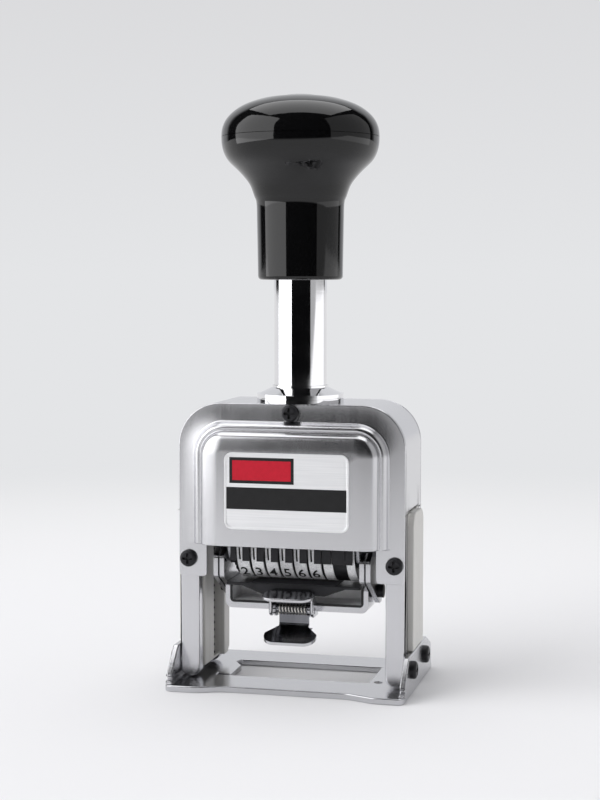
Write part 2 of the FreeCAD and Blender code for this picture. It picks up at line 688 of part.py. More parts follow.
def top_collar():
    """Flanged bush on the frame's top, with its shank through the roof."""
    cone_z = FRAME_TOP + COLLAR_FLANGE_H
    inner = TUBE_R + FIT
    groove_z = FRAME_TOP + COLLAR_FLANGE_H / 2
    groove_in = COLLAR_R - COLLAR_GROOVE_D
    points = [(inner, COLLAR_TOP), (COLLAR_NECK_R, COLLAR_TOP), (COLLAR_NECK_R, COLLAR_TOP - COLLAR_NECK_H)]
    points += [(COLLAR_CONE_R, cone_z), (COLLAR_R, cone_z), (COLLAR_R, groove_z + COLLAR_GROOVE_H)]
    points += [(groove_in, groove_z + COLLAR_GROOVE_H), (groove_in, groove_z), (COLLAR_R, groove_z)]
    points += [(COLLAR_R, FRAME_TOP), (COLLAR_SHANK_R, FRAME_TOP), (COLLAR_SHANK_R, COLLAR_LOW)]
    points += [(inner, COLLAR_LOW), (inner, COLLAR_TOP)]
    return turned(lines(points))


def collar_nut():
    """Nut that draws the collar down on the frame's header."""
    return hex_nut(COLLAR_NUT_R, COLLAR_NUT_H, COLLAR_SHANK_R, COLLAR_LOW)


def pressed_form(seat, rise, shrink):
    """Raised part of a cover, standing from a seat plane towards -Y; shrink gives its hollow."""
    centre_x = BEAD_HALF_W - BEAD_R
    centre_z = BEAD_TOP - BEAD_R
    bottom = PANEL_BOTTOM if shrink == 0 else PANEL_BOTTOM - OVER
    span = BEAD_HALF_W - PANEL_HALF_W
    section = [(0, 0)]
    for inset, height in PRESS_SHARES:
        section.append((BEAD_R - shrink - span * inset, rise * height))
    section.append((0, rise))
    sharp = [0] * len(section)
    side = rounded_wire(section, sharp, lambda out, height: Vec(centre_x + out, -(seat + height), bottom))
    side = Part.Face(side).extrude(Vec(0, 0, centre_z - bottom))
    corner = rounded_wire(section, sharp, lambda out, height: Vec(centre_x + out, -(seat + height), centre_z))
    corner = Part.Face(corner).revolve(Vec(centre_x, 0, centre_z), Vec(0, -1, 0), 90)
    top = rounded_wire(section, sharp, lambda out, height: Vec(-centre_x, -(seat + height), centre_z + out))
    top = Part.Face(top).extrude(Vec(2 * centre_x, 0, 0))
    core = box((-centre_x, centre_x), (-(seat + rise), -seat), (bottom, centre_z))
    return joined([core, top] + both(side) + both(corner))


def cover(seat, rise, mouth):
    """Pressed cover on a seat plane: a rim with two lugs and a hollow raised part."""
    points = [(LUG_IN, LUG_BOTTOM), (FRAME_HALF_W, LUG_BOTTOM), (FRAME_HALF_W, FRAME_TOP), (-FRAME_HALF_W, FRAME_TOP)]
    points += [(-FRAME_HALF_W, LUG_BOTTOM), (-LUG_IN, LUG_BOTTOM), (-LUG_IN, mouth), (LUG_IN, mouth)]
    radii = [0, 0, FRAME_SHOULDER_R, FRAME_SHOULDER_R, 0, 0, 0, 0]
    outer = seat + COVER_T
    rim = slab_y(points, radii, (-outer, -seat))
    body = rim.fuse(pressed_form(outer, rise, 0))
    body = body.cut(pressed_form(seat, rise, COVER_T))
    for x, z in ((COVER_SCREW_X, COVER_SCREW_Z), (-COVER_SCREW_X, COVER_SCREW_Z), (0, COVER_SCREW_TOP_Z)):
        body = body.cut(rod_y(COVER_SCREW_R + FIT, (-(outer + OVER), -(seat - OVER)), x, z))
    return body.removeSplitter()


def cover_screws(seat):
    """Three cross screws of a cover, drawn towards -Y from its outer face."""
    screws = []
    for x, z in ((COVER_SCREW_X, COVER_SCREW_Z), (-COVER_SCREW_X, COVER_SCREW_Z), (0, COVER_SCREW_TOP_Z)):
        screw = pan_screw(COVER_HEAD_R, COVER_HEAD_H, COVER_SCREW_R, COVER_SCREW_LENGTH)
        screw.rotate(Vec(0, 0, 0), Vec(1, 0, 0), 90)
        screw.translate(Vec(x, -seat, z))
        screws.append(screw)
    return screws


def turned_round(shapes):
    """The same pieces, facing the back."""
    for shape in shapes:
        shape.rotate(Vec(0, 0, 0), Vec(0, 0, 1), 180)
    return shapes


def name_plate():
    """Bare plate with a low raised edge, on the panel."""
    def outline(inset):
        half = PLATE_HALF_W - inset
        low = PLATE_BOTTOM + inset
        high = PLATE_TOP - inset
        return [(-half, low), (half, low), (half, high), (-half, high)], [PLATE_R - inset] * 4
    outer = slab_y(*outline(0), (-(PANEL_Y + PLATE_T + PLATE_EDGE_RISE), -PANEL_Y))
    field = slab_y(*outline(PLATE_EDGE), (-(PANEL_Y + PLATE_T + OVER), -(PANEL_Y + PLATE_T)))
    return outer.cut(field)


def wheel_centre(index):
    """Place of a number wheel's middle on X."""
    return WHEEL_FIRST_X + WHEEL_PITCH * index


def finger_plate():
    """Bent plate behind the cover's lower edge, with a finger in front of each wheel's ratchet."""
    face_y = -FINGER_Y - FINGER_T
    inner_y = -(PANEL_Y - COVER_T)
    half = SIDE_IN - AIR
    rail_low = PANEL_BOTTOM + FINGER_T
    pieces = [box((-half, half), (face_y, -FINGER_Y), (rail_low, SHELF_Z))]
    pieces.append(box((-half, half), (inner_y, -FINGER_Y), (SHELF_Z - FINGER_T, SHELF_Z)))
    pieces.append(box((-half, half), (inner_y, inner_y + FINGER_T), (SHELF_Z - FINGER_T, SHELF_Z + FLANGE_H)))
    wheel_ends = [wheel_centre(i) + WHEEL_PITCH / 2 for i in range(WHEEL_COUNT)]
    spans = [(end - FINGER_W, end) for end in wheel_ends]
    first_gap = wheel_centre(0) - WHEEL_PITCH / 2
    spans.append((-half, first_gap))
    spans.append((BLANK_X, BLANK_X + BLANK_W))
    spans.append((INDEX_X, INDEX_X + INDEX_W))
    spans.append((BLANK2_X, half))
    for span in spans:
        pieces.append(box(span, (face_y, -FINGER_Y), (FINGER_BOTTOM, SHELF_Z)))
    return joined(pieces)


# Base plate and guides

def window_outline():
    """Corners of the stamping window, with the pointer at its left end."""
    points = [(-POINTER_ROOT_X, -WINDOW_FRONT), (WINDOW_HALF_W, -WINDOW_FRONT), (WINDOW_HALF_W, WINDOW_BACK)]
    points += [(-WINDOW_HALF_W, WINDOW_BACK), (-POINTER_NOTCH_X, POINTER_NOTCH_Y), (-POINTER_X, POINTER_Y)]
    points += [(-POINTER_X, -POINTER_FRONT), (-POINTER_ROOT_X, -POINTER_ROOT_Y)]
    return points


def base_plate():
    """Plate with a stamping window and an upright ear at each side."""
    points = [(BASE_HALF_W, BASE_BACK), (-BASE_HALF_W, BASE_BACK), (-BASE_HALF_W, -BASE_FOOT_FRONT)]
    points += [(-FOOT_OUT, -BASE_FOOT_FRONT), (-FOOT_IN, -BASE_FRONT), (FOOT_IN, -BASE_FRONT)]
    points += [(FOOT_OUT, -BASE_FOOT_FRONT), (BASE_HALF_W, -BASE_FOOT_FRONT)]
    swing = FOOT_SWING_R
    radii = [BASE_CORNER_R, BASE_CORNER_R, BASE_CORNER_R, swing, swing, swing, swing, BASE_CORNER_R]
    plate = prism(points, radii, place_xy(0), Vec(0, 0, BASE_T))
    plate = plate.cut(prism(window_outline(), [0] * 8, place_xy(-OVER), Vec(0, 0, BASE_T + 2 * OVER)))
    front = -BASE_FOOT_FRONT + BASE_CORNER_R
    back = BASE_BACK - BASE_CORNER_R
    profile = [(front, 0), (back, 0), (back, BASE_T), (EAR_BACK_DROP, EAR_BACK_Z), (EAR_BACK_TOP, EAR_TOP)]
    profile += [(-EAR_FRONT_TOP, EAR_TOP), (front, EAR_FOOT_H)]
    ear = slab_x(profile, [0, 0, 0, EAR_R, EAR_R, EAR_R, EAR_R], (FRAME_HALF_W, BASE_HALF_W))
    plate = joined([plate] + both(ear))
    for y in BASE_SCREW_PLACES:
        plate = plate.cut(both(rod_x(BASE_SCREW_R + FIT, (FRAME_HALF_W - OVER, BASE_HALF_W + OVER), y, BASE_SCREW_Z)))
    plate = plate.cut(both(rod_x(EAR_HOLE_R, (FRAME_HALF_W - OVER, BASE_HALF_W + OVER), -EAR_HOLE_Y, EAR_HOLE_Z)))
    return plate.cut(rod_z(DIMPLE_R, (BASE_T - DIMPLE_D, BASE_T + OVER), DIMPLE_X, -DIMPLE_Y))


def base_screws():
    """Four cross screws through the ears into the legs."""
    screws = []
    for y in BASE_SCREW_PLACES:
        screw = pan_screw(BASE_HEAD_R, BASE_HEAD_H, BASE_SCREW_R, BASE_SCREW_LENGTH)
        screw.rotate(Vec(0, 0, 0), Vec(0, 1, 0), 90)
        screw.translate(Vec(BASE_HALF_W, y, BASE_SCREW_Z))
        screws += both(screw)
    return screws


def guide():
    """Right-hand guide: two rails with the shoe's groove between them, and a strip outside the frame."""
    front = -SLOT_FRONT + FIT
    back = SLOT_BACK - FIT
    rails = [box((GUIDE_FRONT_IN, WALL_IN), (front, GROOVE_FRONT), (GUIDE_BOTTOM, GUIDE_TOP))]
    rails.append(box((LEG_IN - FIT, WALL_IN), (GROOVE_BACK, back), (GUIDE_BOTTOM, GUIDE_TOP)))
    tail = [(GROOVE_BACK, GUIDE_BOTTOM), (FRAME_BACK, GUIDE_BOTTOM), (FRAME_BACK, GUIDE_TOP), (GROOVE_BACK, GUIDE_TOP)]
    rails.append(slab_x(tail, [0, GUIDE_REAR_R, 0, 0], (GUIDE_REAR_IN, LEG_IN - FIT)))
    rails.append(box((WALL_IN, FRAME_HALF_W), (front, back), (GUIDE_BOTTOM, STRIP_TOP)))
    rails.append(box((GUIDE_FRONT_IN, WALL_IN), (front, back), (GUIDE_BOTTOM, GROOVE_FLOOR_Z)))
    strip = [(front, EAR_TOP + AIR), (back, EAR_TOP + AIR), (back, STRIP_TOP), (front, STRIP_TOP)]
    rails.append(slab_x(strip, [0, 0, STRIP_R, STRIP_R], (FRAME_HALF_W, FRAME_HALF_W + STRIP_RISE)))
    return joined(rails)


def return_spring():
    """Right-hand compression spring between the guide's floor and the shoe."""
    low = GROOVE_FLOOR_Z + SPRING_WIRE_R + SPRING_SEAT
    high = SHOE_BOTTOM - SPRING_WIRE_R - SPRING_SEAT
    spring = coil(SPRING_R, SPRING_WIRE_R, SPRING_TURNS, (high - low) / SPRING_TURNS, "return spring")
    spring.translate(Vec(SPRING_X, GROOVE_MID, low))
    return spring


# Carriage

def carriage_head():
    """Cross head under the tube, with an arm into each guide."""
    body = box((-SIDE_IN, SIDE_IN), (-HEAD_HALF_D, HEAD_HALF_D), (HEAD_BOTTOM, HEAD_TOP))
    arm = box((0, SHOE_OUT - SHOE_SKIN), (ARM_FRONT, ARM_BACK), (HEAD_BOTTOM, HEAD_TOP - SHOE_SKIN))
    head = joined([body] + both(arm))
    hole = rod_x(SIDE_SCREW_R, (SIDE_OUT - SIDE_SCREW_LENGTH, SIDE_IN + OVER), -SIDE_SCREW_Y, HEAD_TOP - HEAD_H / 2)
    head = head.cut(both(hole))
    return head.cut(rod_z(TUBE_R, (HEAD_BOTTOM - OVER, HEAD_TOP + OVER)))


def guide_shoe():
    """Right-hand plastic shoe on the head's arm."""
    front = GROOVE_FRONT + AIR
    back = GROOVE_BACK - AIR
    inner = GUIDE_FRONT_IN + AIR
    shoe = box((inner, SHOE_OUT), (front, back), (SHOE_BOTTOM, SHOE_BOTTOM + SHOE_H))
    pocket = box((inner - OVER, SHOE_OUT - SHOE_SKIN), (ARM_FRONT, ARM_BACK), (HEAD_BOTTOM, HEAD_TOP - SHOE_SKIN))
    return shoe.cut(pocket)


def tube_nut():
    """Nut on the tube, over the head."""
    return hex_nut(TUBE_NUT_R, TUBE_NUT_H, TUBE_R, HEAD_TOP)


def side_plate():
    """Right-hand side plate: carries the wheel shaft and hangs from the head."""
    low = AXIS_Z - SIDE_BOTTOM_DROP
    points = [(-SIDE_HALF_D, low), (SIDE_HALF_D, low), (SIDE_HALF_D, HEAD_TOP), (-SIDE_HALF_D, HEAD_TOP)]
    plate = slab_x(points, [SIDE_R, SIDE_R, 0, 0], (SIDE_IN, SIDE_OUT))
    across = (SIDE_IN - OVER, SIDE_OUT + OVER)
    plate = plate.cut(box(across, (ARM_FRONT, ARM_BACK), (HEAD_BOTTOM, HEAD_TOP + OVER)))
    plate = plate.cut(rod_x(SHAFT_R, across, 0, AXIS_Z))
    plate = plate.cut(rod_x(TIE_R, across, -TIE_Y, TIE_Z))
    return plate.cut(rod_x(SIDE_SCREW_R, across, -SIDE_SCREW_Y, HEAD_TOP - HEAD_H / 2))


def side_screws():
    """Screws that hold the side plates to the head."""
    z = HEAD_TOP - HEAD_H / 2
    head = rod_x(SIDE_SCREW_HEAD_R, (SIDE_OUT, SIDE_OUT + SIDE_SCREW_HEAD_H), -SIDE_SCREW_Y, z)
    shank = rod_x(SIDE_SCREW_R, (SIDE_OUT - SIDE_SCREW_LENGTH, SIDE_OUT), -SIDE_SCREW_Y, z)
    return both(joined([head, shank]))


def tie_rod():
    """Rod between the side plates."""
    return rod_x(TIE_R, (-SIDE_OUT, SIDE_OUT), -TIE_Y, TIE_Z)


def detent_comb():
    """Comb under the head's back, with a finger over each wheel's ratchet."""
    y_range = (DETENT_Y, DETENT_Y + DETENT_T)
    tip_z = AXIS_Z + math.sqrt((WHEEL_R + AIR) ** 2 - DETENT_Y ** 2) + FIT
    rail_z = HEAD_BOTTOM - DETENT_RAIL_H
    half = WHEEL_PITCH / 2
    pieces = [box((wheel_centre(0) - half, wheel_centre(WHEEL_COUNT - 1) + half), y_range, (rail_z, HEAD_BOTTOM))]
    for index in range(WHEEL_COUNT):
        x = wheel_centre(index)
        pieces.append(box((x - DETENT_W / 2, x + DETENT_W / 2), y_range, (tip_z, HEAD_BOTTOM)))
    return joined(pieces)


# Wheels and the other pieces on the shaft

def number_wheel(index):
    """One number wheel: a rim for ten figures with a ratchet beside it."""
    x = wheel_centre(index)
    low = x - (WHEEL_PITCH - WHEEL_GAP) / 2
    high = x + (WHEEL_PITCH - WHEEL_GAP) / 2
    step = low + (high - low) * WHEEL_RIM_SHARE
    rim = rod_x(WHEEL_R, (low, step), 0, AXIS_Z)
    ratchet = rod_x(RATCHET_R, (low, high), 0, AXIS_Z)
    notches = []
    for tooth in range(RATCHET_TEETH):
        angle = 2 * math.pi * (tooth + 1 / 2) / RATCHET_TEETH
        y = RATCHET_R * math.cos(angle)
        z = AXIS_Z + RATCHET_R * math.sin(angle)
        notches.append(rod_x(RATCHET_NOTCH_R, (step, high + OVER), y, z))
    wheel = rim.fuse(ratchet.cut(notches))
    return wheel.removeSplitter().cut(rod_x(SHAFT_R + FIT, (low - OVER, high + OVER), 0, AXIS_Z))


def wheel_shaft():
    """Shaft through the side plates, the wheels and the yoke."""
    return rod_x(SHAFT_R, (-SHAFT_HALF, SHAFT_HALF), 0, AXIS_Z)


def shaft_nuts():
    """Round nuts on the shaft's ends, outside the yoke."""
    low = ARM2_OUT + FIT
    nut = rod_x(NUT_R, (low, low + NUT_H), 0, AXIS_Z)
    return both(nut.cut(rod_x(SHAFT_R, (low - OVER, low + NUT_H + OVER), 0, AXIS_Z)))


def selector_dial():
    """Knurled disc at the left end of the wheels, which sets how often a number repeats."""
    high = WHEELS_LEFT
    low = high - DIAL_T
    dial = rod_x(DIAL_R, (low, high), 0, AXIS_Z)
    grooves = [rod_x(SHAFT_R + FIT, (low - OVER, high + OVER), 0, AXIS_Z)]
    for index in range(DIAL_KNURLS):
        angle = 2 * math.pi * index / DIAL_KNURLS
        y = DIAL_R * math.cos(angle)
        z = AXIS_Z + DIAL_R * math.sin(angle)
        grooves.append(rod_x(DIAL_KNURL_R, (low - OVER, high + OVER), y, z))
    return dial.cut(grooves)


def blank_drum(x_range):
    """Plain drum on the shaft."""
    drum = rod_x(WHEEL_R, x_range, 0, AXIS_Z)
    return drum.cut(rod_x(SHAFT_R, (x_range[0] - OVER, x_range[1] + OVER), 0, AXIS_Z))


def sector(inner, outer, from_deg, to_deg, x_range):
    """Part of a ring round the wheels' axis; angles run from the back (+Y) upwards."""
    edges = []
    def place(radius, degrees):
        angle = math.radians(degrees)
        return Vec(x_range[0], radius * math.cos(angle), AXIS_Z + radius * math.sin(angle))
    middle = (from_deg + to_deg) / 2
    edges.append(Part.Arc(place(outer, from_deg), place(outer, middle), place(outer, to_deg)).toShape())
    edges.append(Part.LineSegment(place(outer, to_deg), place(inner, to_deg)).toShape())
    edges.append(Part.Arc(place(inner, to_deg), place(inner, middle), place(inner, from_deg)).toShape())
    edges.append(Part.LineSegment(place(inner, from_deg), place(outer, from_deg)).toShape())
    return Part.Face(Part.Wire(edges)).extrude(Vec(x_range[1] - x_range[0], 0, 0))


def index_arm():
    """Black arm on the shaft, with a curved front and a tail for the feed pawl."""
    x_range = (INDEX_X, INDEX_X + INDEX_W)
    hub = rod_x(INDEX_HUB_R, x_range, 0, AXIS_Z)
    inside = INDEX_HUB_R / 2
    front = sector(inside, WHEEL_R, 180 - INDEX_FRONT_DEG, 180 + INDEX_DOWN_DEG, x_range)
    tail = sector(inside, PAWL_R, PAWL_FROM_DEG, PAWL_TO_DEG, x_range)
    arm = joined([hub, front, tail])
    return arm.cut(rod_x(SHAFT_R + FIT, (x_range[0] - OVER, x_range[1] + OVER), 0, AXIS_Z))


def feed_pawl():
    """Bar behind the wheels, carried by the index arm, that advances them at each stroke."""
    low = wheel_centre(0) - WHEEL_PITCH / 2 + WHEEL_GAP
    return sector(PAWL_R, PAWL_R + PAWL_T, PAWL_FROM_DEG, PAWL_TO_DEG, (low, INDEX_X + INDEX_W))


# Ink pad yoke

def arm_profile():
    """Side view of a yoke arm: a straight front edge, then a slope down and back."""
    points = [(-YOKE_FRONT, YOKE_FRONT_LOW), (YOKE_TAIL_Y, YOKE_TAIL_Z), (YOKE_TAIL_BACK, YOKE_TAIL_Z)]
    points += [(YOKE_TAIL_BACK, YOKE_TAIL_TOP), (YOKE_BOSS_R, AXIS_Z), (-YOKE_BOSS_R, AXIS_Z)]
    points += [(-YOKE_FRONT, YOKE_FRONT_TOP)]
    return points, [YOKE_FRONT_R, YOKE_FRONT_R, YOKE_FRONT_R, 0, 0, 0, YOKE_FRONT_R]


def yoke_side(x_range):
    """One yoke arm with its boss on the shaft."""
    arm = slab_x(*arm_profile(), x_range)
    return joined([arm, rod_x(YOKE_BOSS_R, x_range, 0, AXIS_Z)])


def bored(shape, x_range):
    """Cuts the shaft's and the yoke screw's holes."""
    across = (x_range[0] - OVER, x_range[1] + OVER)
    shape = shape.cut(rod_x(SHAFT_R + FIT, across, 0, AXIS_Z))
    return shape.cut(rod_x(YOKE_SCREW_R, across, YOKE_SCREW_Y, YOKE_SCREW_Z))


def pad_yoke():
    """U of bright sheet that hangs from the shaft: two arms, a bottom strap and a back plate."""
    x_range = (YOKE_IN, YOKE_OUT)
    points = [(-YOKE_OUT, STRAP_BOTTOM), (YOKE_OUT, STRAP_BOTTOM), (YOKE_OUT, YOKE_TAIL_TOP), (YOKE_IN, YOKE_TAIL_TOP)]
    points += [(YOKE_IN, STRAP_TOP), (-YOKE_IN, STRAP_TOP), (-YOKE_IN, YOKE_TAIL_TOP), (-YOKE_OUT, YOKE_TAIL_TOP)]
    radii = [STRAP_R, STRAP_R, 0, 0, STRAP_R - STRAP_T / 2, STRAP_R - STRAP_T / 2, 0, 0]
    strap = slab_y(points, radii, (-STRAP_HALF_D, STRAP_HALF_D))
    back = (STRAP_HALF_D - BACK_PLATE_T, STRAP_HALF_D)
    plate = box((-YOKE_OUT + YOKE_T / 2, YOKE_OUT - YOKE_T / 2), back, (STRAP_BOTTOM + STRAP_T / 2, YOKE_TAIL_TOP))
    yoke = joined([strap, plate] + both(yoke_side(x_range)))
    return bored(yoke, (-YOKE_OUT, YOKE_OUT))


def outer_arm():
    """Right-hand outer arm of the yoke."""
    x_range = (ARM2_IN, ARM2_OUT)
    return bored(yoke_side(x_range), x_range)


def yoke_screws():
    """Dark screws, with a spacer collar, that tie the outer arms to the yoke."""
    shank = rod_x(YOKE_SCREW_R, (YOKE_IN, ARM2_OUT), YOKE_SCREW_Y, YOKE_SCREW_Z)
    spacer = rod_x(YOKE_SCREW_HEAD_R, (YOKE_OUT, ARM2_IN), YOKE_SCREW_Y, YOKE_SCREW_Z)
    head = rod_x(YOKE_SCREW_HEAD_R, (ARM2_OUT, ARM2_OUT + YOKE_SCREW_HEAD_H), YOKE_SCREW_Y, YOKE_SCREW_Z)
    return both(joined([shank, spacer, head]))


def pad_liner():
    """Black strip inside the yoke's U, which holds the tray."""
    outer = YOKE_IN
    inner = YOKE_IN - LINER_T
    top = TRAY_TOP - TRAY_FLANGE_T
    floor = STRAP_TOP + LINER_T
    points = [(-outer, STRAP_TOP), (outer, STRAP_TOP), (outer, top), (inner, top)]
    points += [(inner, floor), (-inner, floor), (-inner, top), (-outer, top)]
    corner = STRAP_R - STRAP_T / 2
    radii = [corner, corner, 0, 0, 0, 0, 0, 0]
    return slab_y(points, radii, (-STRAP_HALF_D, STRAP_HALF_D - BACK_PLATE_T))


def pad_tray():
    """Black tray with a wide flange and a tapered trough under its middle."""
    flange_z = TRAY_TOP - TRAY_FLANGE_T
    flange = box((-YOKE_IN + FIT, YOKE_IN - FIT), (-TRAY_FRONT, TRAY_BACK), (flange_z, TRAY_TOP))
    points = [(-TRAY_NARROW, TRAY_BOTTOM), (TRAY_NARROW, TRAY_BOTTOM), (TRAY_WIDE, flange_z), (-TRAY_WIDE, flange_z)]
    trough = slab_y(points, [0, 0, 0, 0], (-TRAY_FRONT, STRAP_HALF_D - BACK_PLATE_T - FIT))
    tray = joined([flange, trough])
    pocket_y = (-TRAY_FRONT + TRAY_WALL, STRAP_HALF_D - BACK_PLATE_T - TRAY_WALL)
    return tray.cut(box((-PAD_HALF_W, PAD_HALF_W), pocket_y, (TRAY_TOP - PAD_T, TRAY_TOP + OVER)))


def ink_pad():
    """Felt pad in the tray."""
    back = STRAP_HALF_D - BACK_PLATE_T - TRAY_WALL
    z_range = (TRAY_TOP - PAD_T, TRAY_TOP)
    return box((-PAD_HALF_W + FIT, PAD_HALF_W - FIT), (-TRAY_FRONT + TRAY_WALL + FIT, back - FIT), z_range)


# Thumb clip

def upper_tab():
    """Thumb plate in front of the tray, with two ears that carry the clip's pin."""
    root_y = -TRAY_FRONT
    wide_y = (root_y - TAB_FRONT) / 2
    points = [(-TAB_ROOT_HALF_W, root_y), (-TAB_HALF_W, wide_y), (-TAB_HALF_W, -TAB_FRONT)]
    points += [(TAB_HALF_W, -TAB_FRONT), (TAB_HALF_W, wide_y), (TAB_ROOT_HALF_W, root_y)]
    corner = TAB_HALF_W / 2
    plan = prism(points, [0, TAB_T, corner, corner, TAB_T, 0], place_xy(CLIP_Z), Vec(0, 0, TRAY_TOP - CLIP_Z))
    side = [(-TAB_FRONT, TAB_FRONT_Z), (root_y, TAB_ROOT_Z), (root_y, TAB_ROOT_Z + TAB_T), (-TAB_FRONT, TAB_FRONT_Z + TAB_T)]
    sheet = slab_x(side, [0, 0, 0, 0], (-TAB_HALF_W, TAB_HALF_W)).common(plan)
    low = CLIP_Z - CLIP_EAR_R
    ear_top = TAB_ROOT_Z + TAB_T / 4
    profile = [(-CLIP_Y - CLIP_EAR_R, low), (-STRAP_HALF_D, low), (-STRAP_HALF_D, STRAP_TOP)]
    profile += [(-TRAY_FRONT, TRAY_BOTTOM - FIT), (-TRAY_FRONT, ear_top), (-CLIP_Y - CLIP_EAR_R, ear_top - TAB_T / 4)]
    radii = [CLIP_EAR_R - FIT, 0, 0, 0, 0, 0]
    ear = slab_x(profile, radii, (EAR_OUT - EAR_T, EAR_OUT))
    tab = joined([sheet] + both(ear))
    return tab.cut(rod_x(CLIP_PIN_R, (-EAR_OUT - OVER, EAR_OUT + OVER), -CLIP_Y, CLIP_Z))


def clip_pin():
    """Hinge pin of the clip."""
    return rod_x(CLIP_PIN_R, (-EAR_OUT - FIT, EAR_OUT + FIT), -CLIP_Y, CLIP_Z)


def clip_spring():
    """Torsion spring round the clip's pin."""
    spring = coil(COIL_R, COIL_WIRE_R, COIL_TURNS, COIL_PITCH, "clip spring")
    spring.rotate(Vec(0, 0, 0), Vec(0, 1, 0), 90)
    spring.translate(Vec(-COIL_TURNS * COIL_PITCH / 2, -CLIP_Y, CLIP_Z))
    return spring


def lower_tab():
    """Thumb lever: a plate behind the spring with two ears, bent forwards into a round pad."""
    front = -LOWER_PLATE_Y
    back = front + LOWER_T
    side = [(front, LOWER_TOP_Z), (front, LOWER_BEND_Z), (-LOWER_FRONT, LOWER_BOTTOM_Z + LOWER_T)]
    side += [(-LOWER_FRONT, LOWER_BOTTOM_Z), (back, LOWER_BEND_Z - LOWER_T), (back, LOWER_TOP_Z)]
    sheet = slab_x(side, [0, LOWER_T, 0, 0, LOWER_T * 2, 0], (-LOWER_HALF_W, LOWER_HALF_W))
    wide_y = (front - LOWER_FRONT) / 2
    plan = [(-LOWER_EAR_OUT, back + OVER), (-LOWER_EAR_OUT, front), (-LOWER_NECK_HALF_W, front - LOWER_T)]
    plan += [(-LOWER_HALF_W, wide_y), (-LOWER_HALF_W, -LOWER_FRONT), (LOWER_HALF_W, -LOWER_FRONT), (LOWER_HALF_W, wide_y)]
    plan += [(LOWER_NECK_HALF_W, front - LOWER_T), (LOWER_EAR_OUT, front), (LOWER_EAR_OUT, back + OVER)]
    pad_r = (LOWER_HALF_W - LOWER_T) / 2
    radii = [0, 0, 0, LOWER_T, pad_r, pad_r, LOWER_T, 0, 0, 0]
    outline = prism(plan, radii, place_xy(LOWER_BOTTOM_Z - OVER), Vec(0, 0, LOWER_TOP_Z - LOWER_BOTTOM_Z + 2 * OVER))
    sheet = sheet.common(outline)
    shoulder_z = CLIP_Z - CLIP_EAR_R
    for x_range in ((-LOWER_HALF_W, -LOWER_NECK_HALF_W), (LOWER_NECK_HALF_W, LOWER_HALF_W)):
        sheet = sheet.cut(box(x_range, (front - LOWER_T, back + OVER), (LOWER_BEND_Z - LOWER_T, shoulder_z)))
    inner = LOWER_EAR_OUT - LOWER_T
    eye = rod_x(LOWER_EAR_R, (inner, LOWER_EAR_OUT), -CLIP_Y, CLIP_Z)
    web = box((inner, LOWER_EAR_OUT), (-CLIP_Y, back), (shoulder_z, LOWER_TOP_Z))
    tab = joined([sheet] + both(eye) + both(web))
    return tab.cut(rod_x(CLIP_PIN_R + FIT, (-EAR_OUT, EAR_OUT), -CLIP_Y, CLIP_Z))


def all_pieces():
    """Every node's name with its solids."""
    pieces = {
        "knob_body": [knob_body()],
        "knob_cap": [knob_cap()],
        "knob_screw": [knob_screw()],
        "plunger_tube": [plunger_tube()],
        "main_frame": [main_frame()],
        "top_collar": [top_collar()],
        "collar_nut": [collar_nut()],
        "front_cover": [cover(FRAME_FRONT, PANEL_RISE, PANEL_BOTTOM)],
        "front_cover_screws": cover_screws(SEAT_Y),
        "rear_cover": turned_round([cover(FRAME_BACK, REAR_RISE, PANEL_BOTTOM)]),
        "rear_cover_screws": turned_round(cover_screws(FRAME_BACK + COVER_T)),
        "name_plate": [name_plate()],
        "finger_plate": [finger_plate()],
        "base_plate": [base_plate()],
        "base_screws": base_screws(),
        "right_guide": [guide()],
        "left_guide": [mirrored(guide())],
        "right_return_spring": [return_spring()],
        "left_return_spring": [mirrored(return_spring())],
        "carriage_head": [carriage_head()],
        "right_guide_shoe": [guide_shoe()],
        "left_guide_shoe": [mirrored(guide_shoe())],
        "tube_nut": [tube_nut()],
        "right_side_plate": [side_plate()],
        "left_side_plate": [mirrored(side_plate())],
        "side_plate_screws": side_screws(),
        "tie_rod": [tie_rod()],
        "detent_comb": [detent_comb()],
        "wheel_shaft": [wheel_shaft()],
        "shaft_nuts": shaft_nuts(),
        "selector_dial": [selector_dial()],
        "inner_blank_drum": [blank_drum((BLANK_X, BLANK_X + BLANK_W))],
        "outer_blank_drum": [blank_drum((BLANK2_X, SIDE_IN))],
        "index_arm": [index_arm()],
        "feed_pawl": [feed_pawl()],
        "pad_yoke": [pad_yoke()],
        "right_outer_arm": [outer_arm()],
        "left_outer_arm": [mirrored(outer_arm())],
        "yoke_screws": yoke_screws(),
        "pad_liner": [pad_liner()],
        "pad_tray": [pad_tray()],
        "ink_pad": [ink_pad()],
        "upper_tab": [upper_tab()],
        "clip_pin": [clip_pin()],
        "clip_spring": [clip_spring()],
        "lower_tab": [lower_tab()],
    }
    for index in range(WHEEL_COUNT):
        pieces["number_wheel_" + str(index + 1)] = [number_wheel(index)]
    return pieces


os.makedirs("parts", exist_ok=True)
for name, solids in all_pieces().items():
    shape = solids[0] if len(solids) == 1 else Part.makeCompound(solids)
    if not shape.isValid():
        print("not valid:", name)
    for solid in solids:
        if len(solid.Solids) != 1:
            print(name, "has", len(solid.Solids), "solids in one piece")
    shape.translate(Vec(0, ROD_Y, 0))
    shape.exportStep("parts/" + name + ".step")
print("rod axis at y", round(ROD_Y, 3), "knob top", KNOB_TOP, "knob bottom", round(KNOB_BOTTOM, 3))
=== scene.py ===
import math

import bmesh
import bpy
from mathutils import Matrix, Vector


